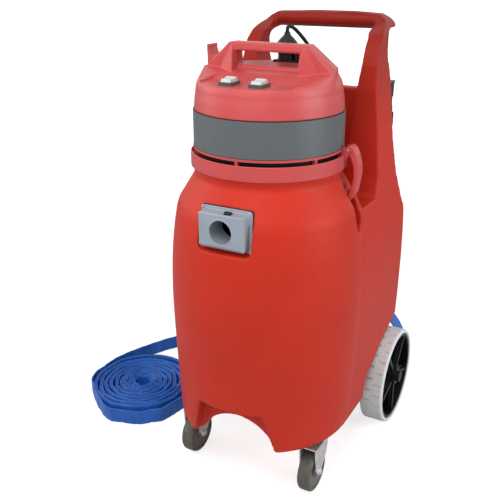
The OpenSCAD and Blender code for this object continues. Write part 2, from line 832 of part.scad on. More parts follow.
// Hook on the left of the dome for the wound power cord
hook_w = 41;
hook_y = 22;
hook_out = band_r + 3;
module cord_hook() {
  z = dome_top - 10;
  color(head_red) placed() difference() {
    along_y(hook_y, hook_w) mirror([1, 0]) polygon([[hook_out - 40, z - 8], [hook_out - 22, z - 16],
      [hook_out - 12, z - 20], [hook_out - 4, z - 10], [hook_out, z + 4], [hook_out + 1, z + 45],
      [hook_out - 2, z + 46], [hook_out - 3, z + 34], [hook_out - 8, z + 23], [hook_out - 16, z + 16],
      [hook_out - 28, z + 12], [hook_out - 40, z + 12]]);
    rotate_extrude($fn = 96) polygon(dome_outline(0));
    carry_handle();
  }
}

// Receptacle on the dome: a flanged base with a round neck and a covered spare outlet
plug_z = dome_top + 15;
plug_h = 47;
module receptacle() {
  color(black) placed() translate([receptacle_x, receptacle_y, dome_top]) {
    linear_extrude(4) translate([7.5, 0]) rounded_rect(66, 44, 6);
    translate([0, 0, 4 - eps]) cylinder(r = neck_plug_r, h = plug_z - dome_top - 4);
    translate([0, 0, -12]) cylinder(r = neck_plug_r - 3, h = 13);
    translate([31, 0, 4 - eps]) linear_extrude(12) rounded_rect(16, 28, 4);
    translate([31, 0, 16 - eps]) linear_extrude(3) rounded_rect(17, 32, 4);
  }
}

module plug() {
  z = plug_z;
  color(black) placed() translate([receptacle_x, receptacle_y, 0])
    rotate_extrude() polygon([[0, z], [neck_plug_r, z], [neck_plug_r + 1, z + 8],
      [neck_plug_r + 4.5, z + 12], [neck_plug_r + 4.5, z + 20], [neck_plug_r + 2, z + 26],
      [neck_plug_r - 5, z + 34], [9, z + 39], [7, z + 42], [6, z + plug_h], [0, z + plug_h]]);
}

module lead_gland() {
  y = band_r - 14;
  color(black) placed() translate([gland_x, 0, gland_z]) difference() {
    union() {
      bar_y(gland_r, y, 14);
      bar_y(gland_r + 4, band_r - 4, 5);
      translate([0, y + 14 - eps, 0]) rotate([-90, 0, 0]) cylinder(r1 = gland_r, r2 = lead_r + 1.5, h = 12);
    }
    bar_y(lead_r - 0.2, y + 20, 20);
  }
}

// ---- sweeps for the lead and the hose ----

function unit(v) = v / norm(v);
function heading(p, i) = unit(p[min(i + 1, len(p) - 1)] - p[max(i - 1, 0)]);
function square_to(v, t) = unit(v - (v * t) * t);

// Tube through a list of points: width and thickness of the section, and its width direction
module swept(p, wide, thick, across, sides) {
  rings = [for (i = [0 : len(p) - 1]) let (t = heading(p, i), w = square_to(across[i], t),
    n = cross(t, w)) for (k = [0 : sides - 1]) let (a = (k + 0.5) * 360 / sides)
    p[i] + w * cos(a) * wide / 2 + n * sin(a) * thick[i] / 2];
  last = (len(p) - 1) * sides;
  polyhedron(points = rings, faces = concat(
    [[for (k = [0 : sides - 1]) sides - 1 - k]],
    [for (i = [0 : len(p) - 2], k = [0 : sides - 1], half = [0, 1]) let (a = i * sides + k,
      b = i * sides + (k + 1) % sides) half == 0 ? [a, b, b + sides] : [a, b + sides, a + sides]],
    [[for (k = [0 : sides - 1]) last + k]]));
}

lead_r = 4;
lead_route = [[24, 172, 900], [24, 183, 900.5], [24, 193, 905], [24, 200, 915], [24, 203, 929],
  [23, 200, 944], [21, 192, 959], [18, 180, 974], [14, 166, 989], [10, 151, 1003], [5, 136, 1016],
  [1, 123, 1026], [-3, 112, 1032.5], [-6, 104, 1034], [-7.7, 100.6, 1031.5], [-8, 100, 1027.5],
  [-8, 100, 1023.1]];
module power_lead() {
  color(black) placed() swept(lead_route, 2 * lead_r, [for (q = lead_route) 2 * lead_r],
    [for (q = lead_route) [1, 0.1, 0.1]], 8);
}

// ---- motor and float, inside the head and below it ----

motor_case_r = 72;
motor_case_h = 50;
motor_can_r = 48;
motor_h = 132;
shaft_r = 4;
motor_wall = 3;
bearing_r = 12;
bearing_h = 12;
motor_seal_t = 3;
motor_z = plate_z + plate_t + motor_seal_t;
motor_screw_r = 3;
motor_screw_at = 62;
module motor_holes() {
  for (i = [0 : 2]) rotate([0, 0, 90 + i * 120]) translate([motor_screw_at, 0, plate_z - 1])
    cylinder(r = motor_screw_r + gap, h = plate_t + 2);
}

module motor_gasket() {
  color(black) placed() ring(motor_case_r - 14, suction_r + 4, plate_z + plate_t, motor_seal_t);
}

// Fan case below and motor can above, hollow for the rotor
module motor_housing() {
  z = motor_z;
  color("#8A8F94") placed() difference() {
    rotate_extrude() polygon([[suction_r, z], [motor_case_r, z], [motor_case_r, z + motor_case_h],
      [motor_can_r, z + motor_case_h + 6], [motor_can_r, z + motor_h - 8],
      [motor_can_r - 10, z + motor_h], [0, z + motor_h], [0, z + motor_h - motor_wall],
      [shaft_r + run, z + motor_h - motor_wall], [shaft_r + run, z + motor_h - bearing_h],
      [bearing_r, z + motor_h - bearing_h], [bearing_r, z + motor_h - motor_wall],
      [motor_can_r - 12, z + motor_h - motor_wall], [motor_can_r - motor_wall, z + motor_h - 12],
      [motor_can_r - motor_wall, z + motor_case_h + 3], [shaft_r + run, z + motor_case_h + 3],
      [shaft_r + run, z + motor_case_h - 3], [motor_case_r - motor_wall, z + motor_case_h - 3],
      [motor_case_r - motor_wall, z + motor_wall], [suction_r, z + motor_wall]]);
  }
}

// Shaft with the suction fan below and the armature above
module motor_rotor() {
  z = motor_z;
  color(steel) placed() {
    translate([0, 0, z + 6]) cylinder(r = shaft_r, h = motor_h - 6 - motor_wall - gap);
    translate([0, 0, z + 8]) ring(motor_case_r - 10, suction_r - 6, 0, 2);
    translate([0, 0, z + 34]) cylinder(r = motor_case_r - 10, h = 2);
    for (i = [0 : 6]) rotate([0, 0, i * 360 / 7]) translate([suction_r - 4, -1, z + 9])
      cube([motor_case_r - 8 - suction_r, 2, 26]);
    translate([0, 0, z + motor_case_h + 8]) cylinder(r = motor_can_r - 12, h = 48);
  }
}

cage_r = 44;
cage_bars = 8;
cage_h = 112;
ball_r = 26;
cage_floor_t = 4;
cage_z = plate_z - cage_h;
cage_hole_r = 8;
ball_z = cage_z + cage_floor_t + sqrt(ball_r * ball_r - cage_hole_r * cage_hole_r) + gap;
module float_cage() {
  color("#D9D5C8") placed() {
    ring(cage_r + 8, suction_r - 6, plate_z - 4, 4);
    ring(cage_r, cage_hole_r, cage_z, cage_floor_t);
    for (i = [0 : cage_bars - 1]) rotate([0, 0, i * 360 / cage_bars])
      translate([cage_r - 5, -3, cage_z + 1]) cube([5, 6, cage_h - 3]);
  }
}

module float_ball() {
  color("#E8E2D0") placed() translate([0, 0, ball_z]) sphere(r = ball_r);
}

// ---- latches ----

nose_z = keeper_z - keeper_r - gap;
module latch(side) {
  color(head_red) placed() scale_x(side) difference() {
    along_y(latch_y - latch_w / 2, latch_w) polygon(concat(
      arc([pivot_x, pivot_z], 7, 60, 190, 6),
      [[pivot_x - 4, pivot_z - 10], [pivot_x + 5, pivot_z - 16], [pivot_x + 12, pivot_z - 34],
       [pivot_x + 14, pivot_z - 56], [pivot_x + 10, keeper_z + 8], [keeper_x + keeper_r + 2, keeper_z],
       [keeper_x + keeper_r + 1, nose_z], [keeper_x - 1, nose_z], [keeper_x - 1, nose_z - 4],
       [pivot_x + 8, nose_z - 9], [pivot_x + 18, keeper_z + 4], [pivot_x + 24, pivot_z - 52],
       [pivot_x + 23, pivot_z - 32], [pivot_x + 17, pivot_z - 10], [pivot_x + 11, pivot_z + 2]]));
    translate([pivot_x, 0, pivot_z]) bar_y(pin_r + run, latch_y - 40, 80);
  }
}

module latch_pins() {
  l = latch_w + 2 * (gap + ear_t) + 2;
  color(steel) placed() both_sides() translate([pivot_x, 0, pivot_z]) bar_y(pin_r, latch_y - l / 2, l);
}

// ---- rear cord cleat ----

cleat_x = 134;
cleat_w = 34;
cleat_z = rim_z + 16;
cleat_h = 115;
cleat_web = 4;
function column_back_y(z) = rim_rear + (wall_rear - rim_rear) * (z - rim_z - 10) / (wall_rise - 10);
module cord_cleat() {
  z0 = cleat_z;
  z1 = cleat_z + cleat_h;
  y0 = column_back_y(z0);
  y1 = column_back_y(panel_z);
  y2 = y1 - (z1 - panel_z) * 8 / 44;
  color(black) placed() {
    along_x(cleat_x, cleat_w) polygon([[y0, z0], [y0 + 48, z0 + 2], [y0 + 54, z0 + 10],
      [y0 + 52, z0 + 40], [y0 + 46, z0 + 40], [y0 + 44, z0 + 12], [y0 + 9, z0 + 10],
      [y1 + 9, z1 - 13], [y1 + 36, z1 - 12], [y1 + 37, z1 - 36], [y1 + 43, z1 - 36],
      [y1 + 44, z1 - 6], [y1 + 52, z1 + 1], [y1 + 30, z1 - 1], [y2, z1], [y1, panel_z]]);
    along_x(cleat_x + cleat_w - cleat_web, cleat_web) polygon([[y0 + 2, z0 + 4], [y0 + 40, z0 + 6],
      [y0 + 42, z0 + 50], [y1 + 37, z1 - 50], [y1 + 36, z1 - 6], [y1 + 2, z1 - 6]]);
  }
}

// ---- pump ----

pump_x = -10;
pump_y = 70;
pump_r = 62;
strainer_r = 76;
strainer_h = 34;
floor_z = base_z + tank_wall;
pump_z = floor_z + strainer_h;
volute_h = 46;
pump_can_r = 50;
pump_h = 150;
pump_shaft_r = 5;
pipe_r = 14;
pipe_bore_r = 11;
riser_y = pump_y;
module pump_strainer() {
  color(black) placed() translate([pump_x, pump_y, floor_z]) difference() {
    cylinder(r = strainer_r, h = strainer_h);
    translate([0, 0, -1]) cylinder(r = strainer_r - 3, h = strainer_h - 2);
    for (i = [0 : 11]) rotate([0, 0, i * 30]) translate([strainer_r - 8, -6, 6])
      cube([16, 12, strainer_h - 14]);
    translate([0, 0, strainer_h - 4]) cylinder(r = 24, h = 6);
  }
}

module pump_housing() {
  z = pump_z;
  color("#44505C") placed() difference() {
    union() {
      translate([pump_x, pump_y, 0]) rotate_extrude() polygon([[0, z], [pump_r, z],
        [pump_r, z + volute_h], [pump_can_r, z + volute_h + 8], [pump_can_r, z + pump_h - 14],
        [pump_can_r - 14, z + pump_h], [0, z + pump_h]]);
      translate([pump_x, pump_y, z + volute_h / 2]) bar_x(pipe_r + 3, pump_r - 8, 17);
    }
    translate([pump_x, pump_y, z - 1]) cylinder(r = 24, h = 6);
    translate([pump_x, pump_y, z + 4]) cylinder(r = pump_r - 6, h = volute_h - 8);
    translate([pump_x, pump_y, z + volute_h - 5]) cylinder(r = pump_shaft_r + run, h = 40);
    translate([pump_x, pump_y, z + volute_h / 2]) bar_x(pipe_r + gap, pump_r, 40);
    translate([pump_x, pump_y, z + volute_h / 2]) bar_x(pipe_bore_r, pump_r - 12, 40);
  }
}

module pump_impeller() {
  z = pump_z;
  color(steel) placed() translate([pump_x, pump_y, 0]) {
    translate([0, 0, z + 32]) cylinder(r = 46, h = 3);
    for (i = [0 : 5]) rotate([0, 0, i * 60]) translate([10, -1.5, z + 10]) cube([34, 3, 23]);
    translate([0, 0, z + 10]) cylinder(r = 12, h = 24);
    translate([0, 0, z + 30]) cylinder(r = pump_shaft_r, h = volute_h);
  }
}

// Pipe from the pump to the outlet: across, up and then back
riser_x = pump_x + pump_r + 24;
module riser_pipe() {
  z0 = pump_z + volute_h / 2;
  module run_of_pipe(r, more) {
    translate([0, riser_y, z0]) bar_x(r, pump_x + pump_r + 2 - more, riser_x - pump_x - pump_r - 2 + more);
    translate([riser_x, riser_y, z0]) cylinder(r = r, h = outlet_z - z0);
    translate([riser_x, riser_y, outlet_z]) bar_y(r, 0, column_back - 40 - riser_y + more);
    translate([riser_x, riser_y, z0]) sphere(r);
    translate([riser_x, riser_y, outlet_z]) sphere(r);
  }
  color("#E4E4E0") placed() difference() {
    run_of_pipe(pipe_r, 0);
    run_of_pipe(pipe_bore_r, 1);
  }
}

// Bulkhead outlet in the back wall, with its nut inside and nipple outside
nipple_l = 30;
outlet_flange_t = 5;
module outlet_fitting() {
  y = column_back;
  color(black) placed() translate([riser_x, 0, outlet_z]) difference() {
    union() {
      bar_y(outlet_r, y - 40, 41);
      bar_y(outlet_r + 9, y, outlet_flange_t);
      bar_y(outlet_r + 8, y - tank_wall - 8, 8);
      bar_y(hose_bore_r, y, nipple_l + outlet_flange_t);
    }
    bar_y(hose_bore_r - 3, y - 41, nipple_l + 60);
  }
}

module hose_coupling() {
  y = column_back + outlet_flange_t;
  color(steel) placed() translate([riser_x, 0, outlet_z]) difference() {
    union() {
      bar_y(hose_bore_r + 6, y, 20);
      bar_y(hose_bore_r + 3, y, 34);
    }
    bar_y(hose_bore_r + 0.1, y - 1, 40);
  }
}

// ---- discharge hose ----

roll_x = -437;
roll_y = 66;
hose_t = 6;
hose_route = [[76, 399.3, 330], [76, 407, 330], [77, 418, 328], [81, 431, 323], [88, 443, 313],
  [98, 453, 298], [112, 460, 278], [129, 464, 256], [148, 466, 234], [168, 467, 212],
  [187, 467, 188], [200, 467, 162], [200, 468, 134], [187, 470, 106], [163, 473, 80], [128, 477, 57],
  [84, 481, 38], [33, 484, 26], [-24, 486, 21], [-90, 486, 21],
  [-160, 481, 21], [-232, 469, 21], [-302, 450, 21], [-368, 423, 21], [-428, 391, 21],
  [-474, 358, 21], [-506, 318, 21], [-530, 272, 21], [-553, 220, 21], [-573, 165, 21],
  [-586, 115, 21], [-591, 66, 21]];
hose_across = concat([for (i = [0 : 3]) [0.3, 0, 1]], [[0.35, 0.2, 0.8], [0.3, 0.6, 0.5]],
  [for (i = [0 : 9]) [0, 1, 0.15]], [[0, 0.8, 0.5], [0, 0.5, 0.8]], [for (i = [0 : 13]) [0, 0, 1]]);
hose_thick = concat([28, 28, 26, 20, 12], [for (i = [0 : 26]) hose_t]);
module discharge_hose() {
  color("#2A56B8") placed() swept(hose_route, hose_w, hose_thick, hose_across, 8);
}

module discharge_roll() {
  color("#2A56B8") placed() translate([roll_x, roll_y, 0])
    rotate_extrude($fn = 72) polygon([[0, 0], [roll_r, 0], [roll_r, hose_w], [0, hose_w]]);
}

tank();
inlet_housing();
inlet_gasket();
inlet_deflector();
inlet_screws();
inlet_slide();
rear_axle();
axle_cap(-1);  // axle_cap_left
axle_cap(1);  // axle_cap_right
rear_hub(-1);  // rear_hub_left
rear_hub(1);  // rear_hub_right
rear_tyre(-1);  // rear_tyre_left
rear_tyre(1);  // rear_tyre_right
caster_plate(-1);  // caster_plate_left
caster_plate(1);  // caster_plate_right
caster_fork(-1);  // caster_fork_left
caster_fork(1);  // caster_fork_right
caster_wheel(-1);  // caster_wheel_left
caster_wheel(1);  // caster_wheel_right
caster_tread(-1);  // caster_tread_left
caster_tread(1);  // caster_tread_right
caster_bolt(-1);  // caster_bolt_left
caster_bolt(1);  // caster_bolt_right
head_base();
intake_screen();
head_gasket();
band();
dome();
switch_bezels();
rocker(-1);  // rocker_left
rocker(1);  // rocker_right
cord_hook();
receptacle();
plug();
lead_gland();
power_lead();
motor_housing();
motor_rotor();
motor_gasket();
float_cage();
float_ball();
latch(-1);  // latch_left
latch(1);  // latch_right
latch_pins();
cord_cleat();
pump_housing();
pump_impeller();
pump_strainer();
riser_pipe();
outlet_fitting();
hose_coupling();
discharge_hose();
discharge_roll();
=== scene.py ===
"""Looks of a wet and dry pump-out tank vacuum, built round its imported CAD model.

Each operator makes one piece or one group of like pieces. Lengths are in metres, in the
frame of the CAD model: x to the right, y to the back, z up from the floor.
"""

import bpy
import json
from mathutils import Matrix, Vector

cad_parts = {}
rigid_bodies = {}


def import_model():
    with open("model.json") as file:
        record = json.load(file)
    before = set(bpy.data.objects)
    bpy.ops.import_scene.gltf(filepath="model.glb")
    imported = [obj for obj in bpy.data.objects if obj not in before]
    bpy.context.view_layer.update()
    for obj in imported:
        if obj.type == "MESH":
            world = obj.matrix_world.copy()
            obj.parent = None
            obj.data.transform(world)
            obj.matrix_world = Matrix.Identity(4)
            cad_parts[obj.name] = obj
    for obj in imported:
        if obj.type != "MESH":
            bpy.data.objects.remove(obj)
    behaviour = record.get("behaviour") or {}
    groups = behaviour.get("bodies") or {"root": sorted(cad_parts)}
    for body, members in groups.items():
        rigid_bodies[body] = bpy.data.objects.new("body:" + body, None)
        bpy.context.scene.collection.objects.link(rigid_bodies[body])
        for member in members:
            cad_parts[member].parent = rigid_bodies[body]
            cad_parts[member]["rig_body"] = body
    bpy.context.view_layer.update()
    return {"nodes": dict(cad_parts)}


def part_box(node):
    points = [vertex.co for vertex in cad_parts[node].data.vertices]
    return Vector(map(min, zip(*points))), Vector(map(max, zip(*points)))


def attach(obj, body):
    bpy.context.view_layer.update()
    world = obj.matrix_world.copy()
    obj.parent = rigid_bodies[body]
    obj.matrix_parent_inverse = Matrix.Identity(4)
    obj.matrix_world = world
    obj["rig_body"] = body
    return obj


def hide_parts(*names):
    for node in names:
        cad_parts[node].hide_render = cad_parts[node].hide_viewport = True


bl_info = {
    "name": "Pump-out tank vacuum",
    "version": (1, 0, 0),
    "blender": (4, 5, 0),
    "location": "View3D > Sidebar > Tank Vacuum",
    "description": "Pieces, materials and stage of a pump-out tank vacuum",
    "category": "Object",
}

import json
import math

import bmesh
import bpy
import numpy as np
from bpy.props import FloatProperty, FloatVectorProperty, IntProperty, PointerProperty
from mathutils import Vector

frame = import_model()
NODES = frame["nodes"]
MM = 0.001
AXIS_Y = -0.103  # the barrel's centre line, in front of the frame's origin


def linear(hex_colour):
    """Turns an sRGB hex colour into linear red, green, blue and 1."""
    made = []
    for i in (1, 3, 5):
        c = int(hex_colour[i:i + 2], 16) / 255
        made.append(c / 12.92 if c <= 0.04045 else ((c + 0.055) / 1.055) ** 2.4)
    return (*made, 1.0)


def settings():
    """The values that the panel shows."""
    return bpy.context.scene.tank_vacuum


# ---- sizes and colours that a user may change ----


def colour_property(name, text, hex_colour):
    """A colour swatch whose default is an sRGB hex colour."""
    return FloatVectorProperty(name=name, description=text, subtype="COLOR", size=4,
                               min=0.0, max=1.0, default=linear(hex_colour))


class VacuumSettings(bpy.types.PropertyGroup):
    """Sizes and colours of the vacuum's finish."""

    tank_red: colour_property("Tank red", "Rotomoulded polyethylene of the tank", "#C4301F")
    head_red: colour_property("Head red", "Moulded ABS of the motor head", "#C44C4C")
    band_grey: colour_property("Band grey", "Vinyl wrap round the head", "#5B6063")
    inlet_grey: colour_property("Inlet grey", "Moulded ABS of the hose inlet", "#949DA8")
    hose_blue: colour_property("Hose blue", "Lay-flat PVC discharge hose", "#2066C4")
    tyre_grey: colour_property("Tyre grey", "Foamed tyre of the rear wheels", "#E4F0F2")
    hose_width: FloatProperty(name="Hose width", description="Width of the flat hose",
                              default=0.041, min=0.03, max=0.05, unit="LENGTH")
    hose_thickness: FloatProperty(name="Hose thickness", description="Thickness of the flat hose",
                                  default=0.0058, min=0.003, max=0.008, unit="LENGTH")
    roll_pitch: FloatProperty(name="Roll pitch", description="Distance between turns of the roll",
                              default=0.01475, min=0.0145, max=0.02, unit="LENGTH")
    lead_diameter: FloatProperty(name="Lead diameter", description="Diameter of the pump's lead",
                                 default=0.008, min=0.006, max=0.01, unit="LENGTH")
    tread_blocks: IntProperty(name="Tread blocks", description="Blocks round each rear tyre",
                              default=26, min=12, max=60)
    soft_edge: FloatProperty(name="Soft edge", description="Voxels that the tank's edges soften on",
                             default=0.0031, min=0.002, max=0.008, unit="LENGTH")


# ---- shader helpers ----


def add_node(tree, kind, attributes=(), sockets=()):
    """Adds a node, sets its attributes, and sets or links its input sockets by name."""
    made = tree.nodes.new(kind)
    for key, value in dict(attributes).items():
        setattr(made, key, value)
    for key, value in dict(sockets).items():
        if isinstance(value, bpy.types.NodeSocket):
            tree.links.new(value, made.inputs[key])
        else:
            made.inputs[key].default_value = value
    return made


def new_material(name):
    """An empty node material with its output and a Principled shader: (material, tree, shader)."""
    material = bpy.data.materials.new(name)
    material.use_nodes = True
    tree = material.node_tree
    tree.nodes.clear()
    shader = add_node(tree, "ShaderNodeBsdfPrincipled")
    add_node(tree, "ShaderNodeOutputMaterial", sockets={"Surface": shader.outputs["BSDF"]})
    return material, tree, shader


def shade(colour, factor):
    """A linear colour made darker or lighter by a factor."""
    return tuple(min(1.0, c * factor) for c in colour[:3]) + (1.0,)


def moulded_plastic(name, colour, roughness, grain, relief, mottle=0.05, spread=0.08, painted_shade=None,
                    **extra):
    """Moulded thermoplastic: a fine skin of grain, in metres, with a relief in metres, over a drift
    of colour by a spread either way, over a mottle in metres, which the eye reads as a moulded and
    not a painted surface. Its roughness wavers by 0.05 with the grain. The painted shade is
    (low, high, share): from one height to the other the colour falls to that share, as painted
    shade on the higher parts."""
    material, tree, shader = new_material(name)
    place = add_node(tree, "ShaderNodeTexCoord").outputs["Object"]
    slow = add_node(tree, "ShaderNodeTexNoise", sockets={
        "Vector": place, "Scale": 1 / mottle, "Detail": 3.0, "Roughness": 0.55})
    fine = add_node(tree, "ShaderNodeTexNoise", sockets={
        "Vector": place, "Scale": 1 / grain, "Detail": 2.0, "Roughness": 0.6})
    tint = add_node(tree, "ShaderNodeMapRange", sockets={
        "Value": slow.outputs["Fac"], "From Min": 0.3, "From Max": 0.7, "To Min": 0.0, "To Max": 1.0})
    mixed = add_node(tree, "ShaderNodeMix", {"data_type": "RGBA"}, {
        "Factor": tint.outputs["Result"]})
    mixed.inputs[6].default_value = shade(colour, 1 - spread)
    mixed.inputs[7].default_value = shade(colour, 1 + spread)
    tree.links.new(mixed.outputs[2], shader.inputs["Base Color"])
    # Painted shade: the colour falls with height, standing in for the shade on the higher parts.
    if painted_shade:
        height = add_node(tree, "ShaderNodeSeparateXYZ", sockets={"Vector": place}).outputs["Z"]
        share = add_node(tree, "ShaderNodeMapRange", sockets={
            "Value": height, "From Min": painted_shade[0], "From Max": painted_shade[1], "To Min": 1.0,
            "To Max": painted_shade[2]})
        scaled = add_node(tree, "ShaderNodeVectorMath", {"operation": "SCALE"}, {
            "Scale": share.outputs["Result"]})
        tree.links.new(mixed.outputs[2], scaled.inputs[0])
        tree.links.new(scaled.outputs["Vector"], shader.inputs["Base Color"])
    gloss = add_node(tree, "ShaderNodeMapRange", sockets={
        "Value": fine.outputs["Fac"], "From Min": 0.3, "From Max": 0.7,
        "To Min": roughness - 0.05, "To Max": roughness + 0.05})
    tree.links.new(gloss.outputs["Result"], shader.inputs["Roughness"])
    bump = add_node(tree, "ShaderNodeBump", sockets={
        "Height": fine.outputs["Fac"], "Distance": relief, "Strength": 1.0})
    tree.links.new(bump.outputs["Normal"], shader.inputs["Normal"])
    for key, value in extra.items():
        shader.inputs[key.replace("_", " ")].default_value = value
    return material


# ---- finishes, each named for its material ----


def rotomoulded_polyethylene():
    """Tank: satin polyethylene with the faint orange peel of a rotomould, 4 mm across, drawn as
    coarse as it needs to show. Up the push handle its colour is darkened to half, as painted
    shade for the lesser light that reaches the handle."""
    # Painted shade: from 0.80 m up to 1.04 m the colour falls to half.
    return moulded_plastic("rotomoulded_polyethylene", settings().tank_red, roughness=0.46,
                           grain=0.004, relief=0.00025, mottle=0.16, spread=0.05,
                           painted_shade=(0.80, 1.04, 0.5), IOR=1.51, Specular_IOR_Level=0.2)


def moulded_abs_red():
    """Head, latches and hook: injection-moulded ABS, smoother and glossier than the tank."""
    return moulded_plastic("moulded_abs_red", settings().head_red, roughness=0.38, grain=0.0016,
                           relief=0.00008, mottle=0.09, spread=0.03, IOR=1.53,
                           Specular_IOR_Level=0.4)


def moulded_abs_grey():
    """Inlet housing: blue-grey ABS with a fine spark-eroded skin."""
    return moulded_plastic("moulded_abs_grey", settings().inlet_grey, roughness=0.42,
                           grain=0.0012, relief=0.00008, mottle=0.04, spread=0.05, IOR=1.53)


def vinyl_wrap_grey():
    """Band: a bare printed-vinyl wrap, even and half glossy, with the fine upright scuffs that
    such a wrap takes, 1.5 mm wide."""
    material, tree, shader = new_material("vinyl_wrap_grey")
    place = add_node(tree, "ShaderNodeTexCoord").outputs["Object"]
    stretched = add_node(tree, "ShaderNodeMapping", sockets={"Vector": place, "Scale": (1.0, 1.0, 0.12)})
    scuffs = add_node(tree, "ShaderNodeTexNoise", sockets={
        "Vector": stretched.outputs["Vector"], "Scale": 650.0, "Detail": 3.0, "Roughness": 0.7})
    ramp = add_node(tree, "ShaderNodeValToRGB", sockets={"Fac": scuffs.outputs["Fac"]})
    ramp.color_ramp.elements[0].position, ramp.color_ramp.elements[1].position = 0.3, 0.75
    ramp.color_ramp.elements[0].color = shade(settings().band_grey, 0.90)
    ramp.color_ramp.elements[1].color = shade(settings().band_grey, 1.10)
    tree.links.new(ramp.outputs["Color"], shader.inputs["Base Color"])
    gloss = add_node(tree, "ShaderNodeMapRange", sockets={
        "Value": scuffs.outputs["Fac"], "To Min": 0.28, "To Max": 0.46})
    tree.links.new(gloss.outputs["Result"], shader.inputs["Roughness"])
    shader.inputs["IOR"].default_value = 1.54
    return material


def moulded_nylon_black():
    """Hub, plug, cleat and fittings: glass-filled nylon, black with a grey bloom."""
    return moulded_plastic("moulded_nylon_black", linear("#121315"), roughness=0.36,
                           grain=0.0012, relief=0.0001, mottle=0.03, spread=0.25, IOR=1.53,
                           Specular_IOR_Level=0.3)


def moulded_nylon_slate():
    """Switch bezels: dark green-grey nylon, lightly polished."""
    return moulded_plastic("moulded_nylon_slate", linear("#46524F"), roughness=0.3, grain=0.0012,
                           relief=0.00005, mottle=0.02, spread=0.1, IOR=1.53)


def rubber_black():
    """Gaskets, the lead's sheath and the black rings painted as shade in the head's seams: matt
    rubber, nearly black.
    """
    return moulded_plastic("rubber_black", linear("#131415"), roughness=0.62, grain=0.0009,
                           relief=0.00006, mottle=0.02, spread=0.3, IOR=1.52,
                           Specular_IOR_Level=0.3)


def zinc_plated_steel():
    """Forks, axle, pins, screws and the hose's coupling: bright zinc plate, whose spangle is 6 mm
    across and whose pressing leaves a soft waviness."""
    material, tree, shader = new_material("zinc_plated_steel")
    place = add_node(tree, "ShaderNodeTexCoord").outputs["Object"]
    spangle = add_node(tree, "ShaderNodeTexVoronoi", sockets={"Vector": place, "Scale": 160.0})
    ramp = add_node(tree, "ShaderNodeValToRGB", sockets={"Fac": spangle.outputs["Color"]})
    ramp.color_ramp.elements[0].color = linear("#C6CDD0")
    ramp.color_ramp.elements[1].color = linear("#F0F3F4")
    tree.links.new(ramp.outputs["Color"], shader.inputs["Base Color"])
    gloss = add_node(tree, "ShaderNodeMapRange", sockets={
        "Value": spangle.outputs["Distance"], "To Min": 0.24, "To Max": 0.44})
    tree.links.new(gloss.outputs["Result"], shader.inputs["Roughness"])
    wave = add_node(tree, "ShaderNodeTexNoise", sockets={"Vector": place, "Scale": 90.0, "Detail": 1.0})
    bump = add_node(tree, "ShaderNodeBump", sockets={
        "Height": wave.outputs["Fac"], "Distance": 0.0004, "Strength": 1.0})
    tree.links.new(bump.outputs["Normal"], shader.inputs["Normal"])
    shader.inputs["Metallic"].default_value = 0.72
    return material


def painted_steel_black():
    """Caster plates and races: pressed steel in thin black paint."""
    return moulded_plastic("painted_steel_black", linear("#202224"), roughness=0.36, grain=0.002,
                           relief=0.0001, mottle=0.02, spread=0.2, IOR=1.5)


def foamed_tyre_grey():
    """Rear tyres: non-marking foamed polyurethane, matt, with 2 mm cells and floor dirt."""
    material, tree, shader = new_material("foamed_tyre_grey")
    place = add_node(tree, "ShaderNodeTexCoord").outputs["Object"]
    cells = add_node(tree, "ShaderNodeTexVoronoi", sockets={"Vector": place, "Scale": 500.0})
    dirt = add_node(tree, "ShaderNodeTexNoise", sockets={
        "Vector": place, "Scale": 45.0, "Detail": 5.0, "Roughness": 0.7})
    ramp = add_node(tree, "ShaderNodeValToRGB", sockets={"Fac": dirt.outputs["Fac"]})
    ramp.color_ramp.elements[0].position, ramp.color_ramp.elements[1].position = 0.35, 0.62
    ramp.color_ramp.elements[0].color = shade(settings().tyre_grey, 0.92)
    ramp.color_ramp.elements[1].color = shade(settings().tyre_grey, 1.0)
    tree.links.new(ramp.outputs["Color"], shader.inputs["Base Color"])
    bump = add_node(tree, "ShaderNodeBump", sockets={
        "Height": cells.outputs["Distance"], "Distance": 0.0003, "Strength": 1.0})
    tree.links.new(bump.outputs["Normal"], shader.inputs["Normal"])
    shader.inputs["Roughness"].default_value = 0.72
    return material


def caster_rubber_grey():
    """Caster treads: thermoplastic rubber, brownish grey and scuffed pale in 8 mm patches."""
    material, tree, shader = new_material("caster_rubber_grey")
    place = add_node(tree, "ShaderNodeTexCoord").outputs["Object"]
    scuff = add_node(tree, "ShaderNodeTexNoise", sockets={
        "Vector": place, "Scale": 120.0, "Detail": 6.0, "Roughness": 0.75})
    ramp = add_node(tree, "ShaderNodeValToRGB", sockets={"Fac": scuff.outputs["Fac"]})
    ramp.color_ramp.elements[0].position, ramp.color_ramp.elements[1].position = 0.38, 0.7
    ramp.color_ramp.elements[0].color = linear("#4A4844")
    ramp.color_ramp.elements[1].color = linear("#6E6A63")
    tree.links.new(ramp.outputs["Color"], shader.inputs["Base Color"])
    gloss = add_node(tree, "ShaderNodeMapRange", sockets={
        "Value": scuff.outputs["Fac"], "To Min": 0.38, "To Max": 0.68})
    tree.links.new(gloss.outputs["Result"], shader.inputs["Roughness"])
    return material


def polypropylene_grey():
    """Caster hubs: grey polypropylene, a little waxy."""
    return moulded_plastic("polypropylene_grey", linear("#6F6D69"), roughness=0.48, grain=0.001,
                           relief=0.0001, mottle=0.02, spread=0.1, IOR=1.49)


def glossy_nylon_grey():
    """Switch rockers: polished pale nylon with soft reflections."""
    return moulded_plastic("glossy_nylon_grey", linear("#CDD1D2"), roughness=0.12, grain=0.002,
                           relief=0.00002, mottle=0.02, spread=0.04, IOR=1.53)


